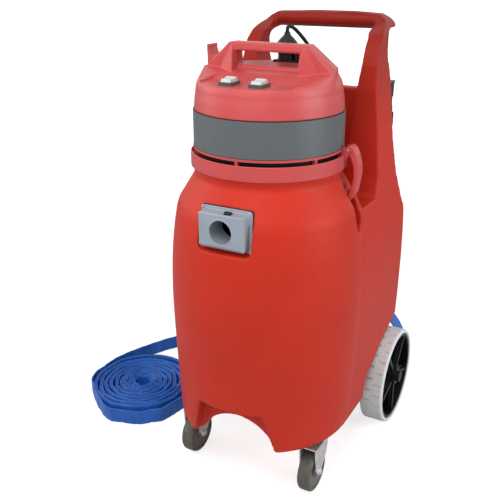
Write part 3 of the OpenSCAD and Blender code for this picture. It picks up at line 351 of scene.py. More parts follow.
def cast_aluminium():
    """Motor: die-cast aluminium, dull with a 1 mm grain."""
    material, tree, shader = new_material("cast_aluminium")
    place = add_node(tree, "ShaderNodeTexCoord").outputs["Object"]
    grain = add_node(tree, "ShaderNodeTexNoise", sockets={
        "Vector": place, "Scale": 900.0, "Detail": 3.0, "Roughness": 0.6})
    ramp = add_node(tree, "ShaderNodeValToRGB", sockets={"Fac": grain.outputs["Fac"]})
    ramp.color_ramp.elements[0].color = linear("#85898C")
    ramp.color_ramp.elements[1].color = linear("#B4B8BA")
    tree.links.new(ramp.outputs["Color"], shader.inputs["Base Color"])
    bump = add_node(tree, "ShaderNodeBump", sockets={
        "Height": grain.outputs["Fac"], "Distance": 0.0002, "Strength": 1.0})
    tree.links.new(bump.outputs["Normal"], shader.inputs["Normal"])
    shader.inputs["Metallic"].default_value = 1.0
    shader.inputs["Roughness"].default_value = 0.5
    return material


def natural_polypropylene():
    """Float cage, ball and riser pipe: unpigmented polypropylene, milky and waxy."""
    return moulded_plastic("natural_polypropylene", linear("#DAD6CA"), roughness=0.4, grain=0.002,
                           relief=0.0001, mottle=0.03, spread=0.03, IOR=1.49)


def pump_enamel_blue():
    """Pump body: blue-grey stove enamel over cast iron, with 3 mm orange peel."""
    return moulded_plastic("pump_enamel_blue", linear("#44505C"), roughness=0.32, grain=0.003,
                           relief=0.0002, mottle=0.04, spread=0.08, IOR=1.5)


def woven_hose_pvc():
    """Discharge hose: PVC skin over polyester yarn. The yarn's diagonals stand through the skin
    as ridges, 2.2 mm apart along the hose's own map and drawn as coarse as they need to show."""
    material, tree, shader = new_material("woven_hose_pvc")
    along = add_node(tree, "ShaderNodeUVMap", {"uv_map": "metres"}).outputs["UV"]
    waves = []
    for turn in (1, -1):
        turned = add_node(tree, "ShaderNodeMapping", sockets={
            "Vector": along, "Rotation": (0.0, 0.0, turn * math.radians(52))})
        waves.append(add_node(tree, "ShaderNodeTexWave", {"wave_type": "BANDS"}, {
            "Vector": turned.outputs["Vector"], "Scale": 140.0, "Distortion": 0.6, "Detail": 1.0}))
    both = add_node(tree, "ShaderNodeMath", {"operation": "MAXIMUM"})
    for i in (0, 1):
        tree.links.new(waves[i].outputs["Fac"], both.inputs[i])
    crumple = add_node(tree, "ShaderNodeTexNoise", sockets={
        "Vector": along, "Scale": 24.0, "Detail": 4.0, "Roughness": 0.6})
    # Painted light and shade: the colour follows the crumple that also bumps the surface, darker in its
    # hollows and lighter on its crests.
    ramp = add_node(tree, "ShaderNodeValToRGB", sockets={"Fac": crumple.outputs["Fac"]})
    ramp.color_ramp.elements[0].position, ramp.color_ramp.elements[1].position = 0.3, 0.7
    ramp.color_ramp.elements[0].color = shade(settings().hose_blue, 0.66)
    ramp.color_ramp.elements[1].color = shade(settings().hose_blue, 1.3)
    tree.links.new(ramp.outputs["Color"], shader.inputs["Base Color"])
    coarse = add_node(tree, "ShaderNodeBump", sockets={
        "Height": crumple.outputs["Fac"], "Distance": 0.003, "Strength": 1.0})
    fine = add_node(tree, "ShaderNodeBump", sockets={
        "Height": both.outputs["Value"], "Distance": 0.0003, "Strength": 1.0,
        "Normal": coarse.outputs["Normal"]})
    tree.links.new(fine.outputs["Normal"], shader.inputs["Normal"])
    shader.inputs["Roughness"].default_value = 0.36
    return material


# ---- mesh helpers ----


def add_piece(name, points, faces, material, body, replaces=(), smooth=True):
    """A mesh piece from an array of points and a list of face indices, which rides on a body and
    stands for the CAD nodes it replaces."""
    mesh = bpy.data.meshes.new(name)
    mesh.from_pydata(np.asarray(points, float), [], np.asarray(faces).tolist()
                     if isinstance(faces, np.ndarray) else faces)
    mesh.update()
    piece = bpy.data.objects.new(name, mesh)
    bpy.context.scene.collection.objects.link(piece)
    mesh.materials.append(material)
    mesh.polygons.foreach_set("use_smooth", np.full(len(mesh.polygons), smooth))
    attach(piece, body)
    if replaces:
        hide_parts(*replaces)
    return piece


def grid_faces(rows, columns, wrap_rows=False, wrap_columns=True):
    """Four-cornered faces over a grid of points stored row by row."""
    i, j = np.meshgrid(np.arange(rows - (not wrap_rows)), np.arange(columns - (not wrap_columns)),
                       indexing="ij")
    a = i * columns + j
    b = i * columns + (j + 1) % columns
    c = ((i + 1) % rows) * columns + (j + 1) % columns
    d = ((i + 1) % rows) * columns + j
    return np.stack([a, b, c, d], axis=-1).reshape(-1, 4)


def smooth_line(points, step):
    """A Catmull-Rom curve through points, resampled so that its points lie a step apart."""
    p = np.asarray(points, float)
    p = np.vstack([2 * p[0] - p[1], p, 2 * p[-1] - p[-2]])
    t = np.linspace(0, 1, 24, endpoint=False)[:, None, None]
    a, b, c, d = p[:-3], p[1:-2], p[2:-1], p[3:]
    curve = 0.5 * (2 * b + (c - a) * t + (2 * a - 5 * b + 4 * c - d) * t ** 2
                   + (3 * b - a - 3 * c + d) * t ** 3)
    line = np.vstack([curve.transpose(1, 0, 2).reshape(-1, p.shape[1]), p[-2]])
    along = np.concatenate([[0], np.cumsum(np.linalg.norm(np.diff(line[:, :3], axis=0), axis=1))])
    at = np.linspace(0, along[-1], int(round(along[-1] / step)) + 1)
    return np.stack([np.interp(at, along, line[:, k]) for k in range(line.shape[1])], axis=1)


def unit(v):
    """Rows of an array scaled to length 1."""
    return v / np.maximum(np.linalg.norm(v, axis=-1, keepdims=True), 1e-12)


def headings(line):
    """The direction of a line at each of its points."""
    return unit(np.gradient(line, axis=0))


def swept_points(line, across, half_wide, half_thick):
    """Sections carried along a line: half_wide and half_thick are arrays, one row for each point
    of the line and one column for each corner of the section, along and square to across."""
    t = headings(line)
    w = unit(across - (across * t).sum(1, keepdims=True) * t)
    n = np.cross(t, w)
    return line[:, None] + w[:, None] * half_wide[..., None] + n[:, None] * half_thick[..., None]


def capped(rows, columns):
    """Faces of a tube made of rows of sections, closed by a cap at each end."""
    faces = grid_faces(rows, columns).tolist()
    faces.append(list(range(columns - 1, -1, -1)))
    faces.append(list(range((rows - 1) * columns, rows * columns)))
    return faces


def face_outwards(piece):
    """Merges doubles of a closed mesh and turns its faces outwards."""
    made = bmesh.new()
    made.from_mesh(piece.data)
    bmesh.ops.remove_doubles(made, verts=made.verts, dist=1e-6)
    bmesh.ops.recalc_face_normals(made, faces=made.faces)
    made.to_mesh(piece.data)
    made.free()


# ---- discharge hose and power lead ----

# The hose's route, in millimetres about the barrel's centre line, as in the CAD source
HOSE_ROUTE = [
    (76, 399.3, 330), (76, 407, 330), (77, 418, 328), (81, 431, 323), (88, 443, 313),
    (98, 453, 298), (112, 460, 278), (129, 464, 256), (148, 466, 234), (168, 467, 212),
    (187, 467, 188), (200, 467, 162), (200, 468, 134), (187, 470, 106), (163, 473, 80),
    (128, 477, 57), (84, 481, 38), (33, 484, 26), (-24, 486, 21), (-90, 486, 21),
    (-160, 481, 21), (-232, 469, 21), (-302, 450, 21), (-368, 423, 21), (-428, 391, 21),
    (-474, 358, 21), (-506, 318, 21), (-530, 272, 21), (-553, 220, 21), (-573, 165, 21),
    (-583, 115, 21)]
# Which way the hose's width points at each point of its route: it twists from its coupling to
# lie on the ground, and then onto its edge
HOSE_LEANS = ([(0.3, 0, 1)] * 4 + [(0.35, 0.2, 0.8), (0.3, 0.6, 0.5)] + [(0, 1, 0.15)] * 10
              + [(0, 0.8, 0.5), (0, 0.5, 0.8)] + [(0, 0, 1)] * 13)
# Over its first points the hose flattens: its thickness in millimetres, then that of flat hose,
# and the share of its full width
HOSE_THICK = [28, 28, 26, 20, 12]
HOSE_SPREAD = [0.66, 0.68, 0.72, 0.82, 0.92, 1.0]
HOSE_STEP = 0.004
HOSE_CORNERS = 20
LOWEST = 0.0006  # the flat hose's underside, just off the floor
ROLL_SWELL = 2.05  # thickness of the hose where it is rolled, over that of flat hose
SLIT_REACH = 0.45  # share of the thickness over which the edges of a rolled hose part
SLIT_DEPTH = 0.34
ROLL_AT = (-437, 66)
# Corners of the roll's outermost turn, as degrees and millimetres from its centre
OUTER_TURN = [(175, 147), (189, 149), (204, 147), (225, 136), (247, 139), (270, 157), (286, 155),
              (302, 160), (314, 157), (326, 160), (343, 150), (360, 150), (375, 146), (392, 147),
              (410, 148), (430, 146), (450, 148), (470, 146), (490, 144), (512, 141), (534, 134)]
# The roll is wound tight from one radius in to another, at a pitch of its own, in millimetres
TIGHT_FROM = 56
ROLL_HEART = 24
TIGHT_PITCH = 8
LOOSE_TURN, TIGHT_TURN = 6, 10  # degrees between points of the loose turns, and of the tight ones
LEAD_STEP = 0.002
LEAD_CORNERS = 16
# The lead's route, as the hose's
LEAD_ROUTE = [
    (24, 172, 900), (24, 183, 900.5), (24, 193, 905), (24, 200, 915), (24, 203, 929),
    (23, 200, 944), (21, 192, 959), (18, 180, 974), (14, 166, 989), (10, 151, 1003), (5, 136, 1016),
    (1, 123, 1026), (-3, 112, 1032.5), (-6, 104, 1034), (-7.7, 100.6, 1031.5), (-8, 100, 1027.5),
    (-8, 100, 1023.1)]


def in_frame(points):
    """Millimetres about the barrel's centre line turned into metres in the frame."""
    p = np.asarray(points, float) * MM
    p[:, 1] += AXIS_Y
    return p


def roll_line():
    """The roll's centre line: an outer turn with corners, then r = r0 - pitch * angle / turn, with
    a wider pitch outside than in the tight heart and a slow wobble of 2 mm, as (x, y, z, radius)
    in millimetres."""
    pitch = settings().roll_pitch / MM
    start, r0 = OUTER_TURN[-1]
    loose = np.arange(0, (r0 - TIGHT_FROM) / pitch * 360, LOOSE_TURN)
    tight = np.arange(0, (TIGHT_FROM - ROLL_HEART) / TIGHT_PITCH * 360, TIGHT_TURN)
    angle = np.concatenate([[a for a, r in OUTER_TURN], start + LOOSE_TURN + loose,
                            start + 2 * LOOSE_TURN + loose[-1] + tight])
    radius = np.concatenate([[r for a, r in OUTER_TURN], r0 - pitch * (loose + LOOSE_TURN) / 360,
                             TIGHT_FROM - TIGHT_PITCH * (tight + TIGHT_TURN) / 360])
    wobble = 1.1 * np.sin(np.radians(angle * 5.3)) + 0.9 * np.sin(np.radians(angle * 8.7 + 40))
    radius = radius + np.where(angle > start, wobble, 0)
    a = np.radians(angle)
    return np.stack([ROLL_AT[0] + radius * np.cos(a), ROLL_AT[1] + radius * np.sin(a),
                     np.full(len(a), settings().hose_width / MM / 2), radius], axis=1)


def hose_line():
    """The whole centre line in the frame, with the share that each point lies inside the roll,
    which grows from 0 to 1 over 14 points of the outer turn."""
    tail = np.array([(*p, 0) for p in HOSE_ROUTE], float)
    roll = roll_line()
    roll[:, 3] = np.clip((np.arange(len(roll)) - 8) / 14, 0, 1)
    line = smooth_line(np.vstack([tail, roll]) * (MM, MM, MM, 1), HOSE_STEP)
    line[:, 1] += AXIS_Y
    return line[:, :3], line[:, 3]


def hose_section(corners):
    """A flat section with round edges, as (across, square to it), each from -1 to 1: the signed
    powers |cos a| ** 0.35 and |sin a| ** 0.6 of a turn's cosine and sine."""
    a = np.linspace(0, 2 * math.pi, corners, endpoint=False) + math.pi / corners
    across = np.sign(np.cos(a)) * np.abs(np.cos(a)) ** 0.35
    square = np.sign(np.sin(a)) * np.abs(np.sin(a)) ** 0.6
    return across, square


class VACUUM_OT_hose(bpy.types.Operator):
    """Discharge hose: the flat hose from its coupling, down behind the tank and into the roll"""

    bl_idname = "vacuum.hose"
    bl_label = "Discharge hose"

    def execute(self, context):
        """Each section is near * width across and thick across its walls. Where the hose is
        rolled, the walls swell and the edges are drawn in at the slit between them. The line
        sways sideways by 0.5 sin(140 s) + 0.4 sin(311 s + 1) millimetres, s metres along it."""
        line, rolled = hose_line()
        along = np.concatenate([[0], np.cumsum(np.linalg.norm(np.diff(line, axis=0), axis=1))])
        wide, flat = settings().hose_width, settings().hose_thickness
        route = in_frame(HOSE_ROUTE)
        marks = np.concatenate([[0], np.cumsum(np.linalg.norm(np.diff(route, axis=0), axis=1))])
        leans = np.array(HOSE_LEANS, float)
        across = np.stack([np.interp(along, marks, leans[:, k]) for k in range(3)], axis=1)
        opened = marks[:len(HOSE_SPREAD)]
        thick = np.interp(along, opened, [t * MM for t in HOSE_THICK] + [flat])
        thick = thick + rolled * (ROLL_SWELL * flat - thick)
        near = np.interp(along, opened, HOSE_SPREAD)
        c, s = hose_section(HOSE_CORNERS)
        slit = np.where(np.abs(s) < SLIT_REACH, 1.0, 0.0)
        drawn_in = 1 - SLIT_DEPTH * slit[None] * rolled[:, None]
        half_wide = near[:, None] * wide / 2 * (c[None] * drawn_in)
        half_thick = thick[:, None] / 2 * s[None]
        waves = 0.0005 * np.sin(along * 140) + 0.0004 * np.sin(along * 311 + 1)
        points = swept_points(line, across, half_wide, half_thick)
        points[:, :, :2] += (headings(line)[:, None, :2][:, :, ::-1] * (1, -1)) * waves[:, None, None]
        points[:, :, 2] = np.maximum(points[:, :, 2], LOWEST)
        piece = add_piece("discharge_hose_flat", points.reshape(-1, 3), capped(len(line), HOSE_CORNERS),
                          woven_hose_pvc(), "tank_body",
                          replaces=("discharge_hose", "discharge_roll"))
        face_outwards(piece)
        self.map_metres(piece, along)
        return {"FINISHED"}

    def map_metres(self, piece, along):
        """The hose's own map: metres along it, and metres round its section."""
        mesh = piece.data
        layer = mesh.uv_layers.new(name="metres")
        vertex = np.zeros(len(mesh.loops), np.int32)
        mesh.loops.foreach_get("vertex_index", vertex)
        row, corner = vertex // HOSE_CORNERS, vertex % HOSE_CORNERS
        half = HOSE_CORNERS / 2
        round_it = np.abs(corner - half) / half * settings().hose_width
        layer.data.foreach_set("uv", np.stack([along[row], round_it], axis=1).astype(np.float32).ravel())


class VACUUM_OT_lead(bpy.types.Operator):
    """Power lead: the pump's short lead, from its gland on the head to its plug on the dome"""

    bl_idname = "vacuum.lead"
    bl_label = "Power lead"

    def execute(self, context):
        """A circle (cos a, sin a) * diameter / 2 carried along the lead's route."""
        d = settings().lead_diameter
        line = smooth_line(in_frame(LEAD_ROUTE), LEAD_STEP)
        a = np.linspace(0, 2 * math.pi, LEAD_CORNERS, endpoint=False)
        across = np.broadcast_to((1.0, 0.1, 0.1), line.shape)
        wide = np.broadcast_to(np.cos(a) * d / 2, (len(line), LEAD_CORNERS))
        thick = np.broadcast_to(np.sin(a) * d / 2, (len(line), LEAD_CORNERS))
        points = swept_points(line, across, wide, thick)
        piece = add_piece("power_lead_sheath", points.reshape(-1, 3), capped(len(line), LEAD_CORNERS),
                          rubber_black(), "head", replaces=("power_lead",))
        face_outwards(piece)
        return {"FINISHED"}


# ---- rounded mouldings ----

# Push handle: half its width, the corner radius of the CAD form and that of the finished one
HANDLE_HALF = 0.166
HANDLE_EDGE = 0.030
HANDLE_ROUND = 0.057
# Dome, in millimetres about the barrel's centre line: the radius and height of the centre of its
# round shoulder, and the shoulder's own radius
SHOULDER_OUT, SHOULDER_Z, SHOULDER_ROUND = 110.5, 916, 45.0
STEP_HALF = 112  # half the width of the step under the carry handle
# Plane of the outer side of a foot of the carry handle, |x| = FOOT_HALF at its front and base
FOOT_HALF, FOOT_FRONT, FOOT_BACK, FOOT_BASE = 151, -11.5, 90, 960
FOOT_SPLAY, FOOT_LEAN = 0.3, 1.1  # how the plane comes in with y, and with z above the base
FOOT_LOWEST = 925


def add_hulls(piece, hulls):
    """Adds convex solids to a closed mesh, each given by points on its surface."""
    made = bmesh.new()
    made.from_mesh(piece.data)
    for points in hulls:
        corners = [made.verts.new(p) for p in points]
        hull = bmesh.ops.convex_hull(made, input=corners)
        inside = [v for v in hull["geom_interior"] if isinstance(v, bmesh.types.BMVert)]
        bmesh.ops.delete(made, geom=inside, context="VERTS")
    made.to_mesh(piece.data)
    made.free()


def rounded_copy(node, name, material, voxel, rounds, keep, hulls=(), ease=None):
    """A copy of a CAD node with every edge softened as a mould softens it: its doubles are merged,
    convex solids are added, it is rebuilt on voxels, each point then moves half way to the mean of
    its neighbours, and the mesh is thinned to a share of its faces where it is flat. Last, ease
    moves its points."""
    source = NODES[node]
    mesh = source.data.copy()
    piece = bpy.data.objects.new(name, mesh)
    bpy.context.scene.collection.objects.link(piece)
    add_hulls(piece, hulls)
    face_outwards(piece)
    remesh = piece.modifiers.new("voxels", "REMESH")
    remesh.mode, remesh.voxel_size, remesh.use_smooth_shade = "VOXEL", voxel, True
    relax = piece.modifiers.new("relax", "SMOOTH")
    relax.factor, relax.iterations = 0.5, rounds
    thin = piece.modifiers.new("thin", "DECIMATE")
    thin.ratio = keep
    shown = piece.evaluated_get(bpy.context.evaluated_depsgraph_get())
    made = bpy.data.meshes.new_from_object(shown)
    piece.modifiers.clear()
    piece.data = made
    made.name = name
    made.materials.clear()
    made.materials.append(material)
    made.polygons.foreach_set("use_smooth", np.ones(len(made.polygons), bool))
    if ease:
        points = np.zeros(len(made.vertices) * 3, np.float32)
        made.vertices.foreach_get("co", points)
        made.vertices.foreach_set("co", ease(points.reshape(-1, 3).astype(float)).ravel())
    made.update()
    bpy.data.meshes.remove(mesh)
    body = source["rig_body"]
    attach(piece, body)
    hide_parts(node)
    return piece


class VACUUM_OT_tank(bpy.types.Operator):
    """Tank: the rotomoulded barrel, column and push handle, with every edge softly rounded"""

    bl_idname = "vacuum.tank"
    bl_label = "Tank"

    def execute(self, context):
        rounded_copy("tank", "tank_moulding", rotomoulded_polyethylene(),
                     voxel=settings().soft_edge, rounds=5, keep=0.28, ease=self.round_corners)
        return {"FINISHED"}

    def round_corners(self, points):
        """Wider corners on the push handle: about each corner's centre, the level sets of a square
        with corners of radius r become circles, (dx, dz) -> (dx, dz) * level / hypot(dx, dz)."""
        half, top, reach = HANDLE_HALF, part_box("tank")[1][2], HANDLE_ROUND
        d = np.stack([np.abs(points[:, 0]) - half + reach, points[:, 2] - top + reach], 1)
        tight = reach - HANDLE_EDGE
        length = np.maximum(np.hypot(d[:, 0], d[:, 1]), 1e-9)
        past = d - tight
        level = np.where(past.min(1) > 0, tight + np.hypot(past[:, 0], past[:, 1]), d.max(1))
        share = np.where(d.min(1) > 0, level / length, 1.0)
        points = points.copy()
        moved = d * share[:, None]
        at = d.min(1) > 0
        points[at, 0] = (np.sign(points[:, 0]) * (moved[:, 0] + half - reach))[at]
        points[at, 2] = (moved[:, 1] + top - reach)[at]
        return points


class VACUUM_OT_head(bpy.types.Operator):
    """Head: dome, base, hook and latches in moulded ABS, and the bare vinyl band"""

    bl_idname = "vacuum.head"
    bl_label = "Motor head"

    def execute(self, context):
        abs_red = moulded_abs_red()
        rounded_copy("dome", "dome_moulding", abs_red, voxel=0.0013, rounds=4,
                     keep=0.3, hulls=self.dome_hulls(), ease=self.slim_feet)
        rounded_copy("cord_hook", "cord_hook_moulding", abs_red, voxel=0.0012,
                     rounds=3, keep=0.6)
        for side in ("left", "right"):
            rounded_copy("latch_" + side, f"latch_{side}_moulding", abs_red,
                         voxel=0.0009, rounds=3, keep=0.6)
        finish_nodes(abs_red, "head_base")
        # Painted shade: two black rings sit in the seams above and below the band, standing in for the shade
        # in those seams.
        black = rubber_black()
        turned_ring("dome_seam_shade", black, "head", radius=161.2, width=4.0,
                    low=874.9, high=877.6)
        turned_ring("band_seam_shade", black, "head", radius=162.6, width=3.0,
                    low=800.2, high=801.8)
        finish_nodes(vinyl_wrap_grey(), "band")
        return {"FINISHED"}

    def dome_hulls(self):
        """Solids that the dome has beside its CAD form: a strip that backs the step under the
        carry handle, a ramp up to it, and on each side a cheek inside the handle's foot and a
        shoulder between the foot's base and the dome's outline."""
        strip = ((-6, 945.4), (5, 960.3), (12, 960.5), (12, 956.5), (-4, 942))
        ramp = ((-58, 935), (-44, 940.5), (-27, 947.5), (-3, 952.5), (-3, 941), (-58, 931))
        hulls = [in_frame([(x, y, z) for x in (-STEP_HALF, STEP_HALF) for y, z in outline])
                 for outline in (strip, ramp)]
        turn = np.radians(np.linspace(-38.5, 24, 14))
        rim = [(r * math.cos(t), r * math.sin(t), outline_height(r)) for r in (149.5, 153.3, 155.2)
               for t in turn]
        base = [(95, -22, 949), (113, -12, 953), (151.5, -11.5, 957), (143, 26, 957), (131, 56, 955),
                (95, -22, 925), (131, 56, 925)]
        cheek = [(76, -27, 938), (76, -26.5, 957), (77.2, -22.5, 991), (84.5, -12, 1003),
                 (114, -11, 938), (113.5, -9.5, 953), (77, 17, 938), (77, 17, 991), (84, 16, 1003),
                 (114, 17, 938)]
        for side in (-1, 1):
            for corners in (cheek, rim + base):
                hulls.append(in_frame([(side * x, y, z) for x, y, z in corners]))
        return hulls

    def slim_feet(self, points):
        """Brings the outer sides of the handle's feet in to a plane that leans in above the dome,
        |x| <= half - splay (y - front) - lean (z - base) in millimetres, and no further than the
        dome's own outline."""
        x, y, z = points[:, 0] / MM, (points[:, 1] - AXIS_Y) / MM, points[:, 2] / MM
        plane = FOOT_HALF - FOOT_SPLAY * (y - FOOT_FRONT) - FOOT_LEAN * np.maximum(z - FOOT_BASE, 0)
        dome = np.sqrt(np.maximum(outline_radius(z) ** 2 - y ** 2, 0))
        most = np.maximum(plane, dome + 0.3)
        points = points.copy()
        at = (z > FOOT_LOWEST) & (y > FOOT_FRONT) & (y < FOOT_BACK) & (np.abs(x) > most)
        points[at, 0] = (np.sign(x) * most * MM)[at]
        return points


def turned_ring(name, material, body, radius, width, low, high):
    """A ring of square section about the barrel's axis: r from radius - width to radius, z from
    low to high, all in millimetres."""
    turns = 128
    a = np.linspace(0, 2 * math.pi, turns, endpoint=False)
    section = np.array([(radius - width, low), (radius, low), (radius, high), (radius - width, high)])
    points = np.stack([section[:, 0] * np.cos(a)[:, None], section[:, 0] * np.sin(a)[:, None],
                       np.broadcast_to(section[:, 1], (turns, 4))], axis=-1)
    piece = add_piece(name, in_frame(points.reshape(-1, 3)), grid_faces(turns, 4, wrap_rows=True),
                      material, body, smooth=False)
    face_outwards(piece)


def shoulder_reach(past):
    """How far a circle of the dome's shoulder reaches where it is cut at a distance past its
    centre: sqrt(round ** 2 - past ** 2), in millimetres."""
    return np.sqrt(np.maximum(SHOULDER_ROUND ** 2 - np.maximum(past, 0) ** 2, 0))


def outline_height(r):
    """Height of the dome's round shoulder, in millimetres, at a distance from the barrel's axis."""
    return SHOULDER_Z + shoulder_reach(r - SHOULDER_OUT)


def outline_radius(z):
    """Radius of the dome's round shoulder, in millimetres, at a height, and 0 above its top."""
    return np.where(z < SHOULDER_Z + SHOULDER_ROUND, SHOULDER_OUT + shoulder_reach(z - SHOULDER_Z), 0.0)


class VACUUM_OT_inlet(bpy.types.Operator):
    """Inlet: the blue-grey housing, with soft edges"""

    bl_idname = "vacuum.inlet"
    bl_label = "Hose inlet"

    def execute(self, context):
        rounded_copy("inlet_housing", "inlet_moulding", moulded_abs_grey(),
                     voxel=0.0011, rounds=2, keep=0.5)
        return {"FINISHED"}


def finish_nodes(material, *names):
    """Gives CAD nodes a finish in place of the plain one they are packed with."""
    for name in names:
        slots = NODES[name].data.materials
        slots.clear()
        slots.append(material)


TYRE_SEAT = 0.010  # from the tread down to the rim that the tyre sits on
TYRE_ROUND = 0.006  # radius of the tyre's shoulders
TYRE_CUT_LAND = 0.0003  # half the width of a groove's end wall
GROOVE_DEEP = 0.0028
GROOVE_MOUTH, GROOVE_BED = 0.052, 0.040  # half a groove at its top and at its bed, over the pitch
# Where the tread between two grooves has its points, over the pitch
BLOCK_PHASES = [0.15, 0.24, 0.33, 0.41, 0.59, 0.67, 0.76, 0.85]


class VACUUM_OT_tyres(bpy.types.Operator):
    """Rear tyres: foamed tyres with two staggered rows of thin grooves across the tread"""

    bl_idname = "vacuum.tyres"
    bl_label = "Rear tyres"

    def execute(self, context):
        material = foamed_tyre_grey()
        for side in ("left", "right"):
            self.tyre(side, material)
        return {"FINISHED"}

    def tyre(self, side, material):
        """r(a, u): a section with round shoulders, turned round the axle, whose radius drops by
        the groove's depth where the angle is within half a groove of its pitch. The outer row of
        grooves and the inner one stand half a pitch apart."""
        low, high = (np.array(v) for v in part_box("rear_tyre_" + side))
        centre, radius = (low + high) / 2, (high[2] - low[2]) / 2
        half = (high[0] - low[0]) / 2
        outward = -1.0 if side == "left" else 1.0
        inner, round_r = radius - TYRE_SEAT, TYRE_ROUND
        t = np.radians(np.linspace(0, 90, 7))
        shoulder = np.stack([radius - round_r + round_r * np.sin(t), half - round_r + round_r * np.cos(t)], 1)
        flank = np.array([(inner, half - 0.002), (inner + 0.0008, half - 0.0006), (inner + 0.0022, half)])
        outer_row, inner_row = (0.0015, half - 0.0075), (0.003 - half, -0.0035)
        edges = sorted(e + d for e in (*outer_row, *inner_row) for d in (-TYRE_CUT_LAND, TYRE_CUT_LAND))
        tread = np.array([(radius, u) for u in edges if abs(u) < half - round_r] + [(radius, 0.0)])
        tread = tread[np.argsort(-tread[:, 1])]
        section = np.vstack([flank, shoulder, tread, shoulder[::-1] * (1, -1), flank[::-1] * (1, -1)])
        blocks = settings().tread_blocks
        step = np.array([-GROOVE_MOUTH, -GROOVE_BED, 0.0, GROOVE_BED, GROOVE_MOUTH])
        phases = np.sort(np.concatenate([step % 1, step + 0.5, BLOCK_PHASES]))
        turn = (np.arange(blocks)[:, None] + phases[None]).ravel() / blocks
        phase = (turn[:, None] * blocks) % 1
        u = section[None, :, 1]
        drop = np.zeros((len(turn), len(section)))
        for row, at in ((outer_row, 0.0), (inner_row, 0.5)):
            off = np.abs((phase - at + 0.5) % 1 - 0.5)
            along = np.clip((GROOVE_MOUTH - off) / (GROOVE_MOUTH - GROOVE_BED), 0, 1)
            ends = [np.clip(past / (2 * TYRE_CUT_LAND) + 0.5, 0, 1) for past in (u - row[0], row[1] - u)]
            drop = np.maximum(drop, along * ends[0] * ends[1])
        share = np.clip((section[:, 0] - radius + 0.004) / 0.003, 0, 1)
        r = section[None, :, 0] - GROOVE_DEEP * drop * share[None]
        a = turn[:, None] * 2 * math.pi
        points = np.stack([centre[0] + outward * np.broadcast_to(u, r.shape),
                           centre[1] + r * np.cos(a), centre[2] + r * np.sin(a)], axis=-1)
        piece = add_piece(f"rear_tyre_{side}_tread", points.reshape(-1, 3),
                          grid_faces(len(turn), len(section), wrap_rows=True), material,
                          "rear_wheel_" + side, replaces=("rear_tyre_" + side,))
        face_outwards(piece)


class VACUUM_OT_fittings(bpy.types.Operator):
    """Fittings: finishes of the wheels, casters, plug, motor, pump and the other CAD parts"""

    bl_idname = "vacuum.fittings"
    bl_label = "Fittings"

    def execute(self, context):
        sides = ("left", "right")
        finish_nodes(moulded_nylon_black(), "inlet_slide", "inlet_deflector", "receptacle", "plug",
                     "cord_cleat", "outlet_fitting", "pump_strainer", "lead_gland",
                     "intake_screen",
                     *[n + s for n in ("rear_hub_", "axle_cap_") for s in sides])
        finish_nodes(moulded_nylon_slate(), "switch_bezels")
        finish_nodes(rubber_black(), "inlet_gasket", "head_gasket", "motor_gasket", "power_lead")
        finish_nodes(zinc_plated_steel(), "inlet_screws", "rear_axle", "latch_pins", "motor_rotor",
                     "pump_impeller", "hose_coupling",
                     *[n + s for n in ("caster_fork_", "caster_bolt_") for s in sides])
        finish_nodes(painted_steel_black(), *["caster_plate_" + s for s in sides])
        finish_nodes(caster_rubber_grey(), *["caster_tread_" + s for s in sides])
        finish_nodes(polypropylene_grey(), *["caster_wheel_" + s for s in sides])
        finish_nodes(glossy_nylon_grey(), *["rocker_" + s for s in sides])
        finish_nodes(cast_aluminium(), "motor_housing")
        finish_nodes(natural_polypropylene(), "float_cage", "float_ball", "riser_pipe")
        finish_nodes(pump_enamel_blue(), "pump_housing")
        return {"FINISHED"}


# ---- stage ----

CAMERA_AT = (0.68758, -1.46364, 1.15214)
CAMERA_TURN = 0.49467  # radians about the upright, from the front towards the right
CAMERA_DIP = 0.37624  # radians below level
CAMERA_LENS = 51.46
LAMP_TARGET = (0.0, 0.0, 0.55)
# Each lamp's name, place, size in metres, power in watts, and whether surfaces mirror it
LAMPS = (("front", (0.0, -1.25, 1.3), 1.0, 9, False),
         ("key", (2.7, 0.1, 1.4), 1.8, 38, True),
         ("fill", (-2.5, -0.9, 1.6), 1.8, 20, True),
         ("top", (0.1, -1.0, 2.3), 1.0, 9, True))
SURROUND_DIM = 0.34  # the surround's light on the object, over what the camera sees of it


def add_light(name, place, size, power, mirrored):
    """A square area lamp that faces the object. One that isn't mirrored lights surfaces without
    a highlight, as a lamp behind a large diffuser does."""
    data = bpy.data.lights.new(name, "AREA")
    data.size, data.energy = size, power
    lamp = bpy.data.objects.new(name, data)
    lamp.location, lamp.visible_glossy = place, mirrored
    lamp.rotation_euler = (Vector(LAMP_TARGET) - Vector(place)).to_track_quat("-Z", "Y").to_euler()
    bpy.context.scene.collection.objects.link(lamp)


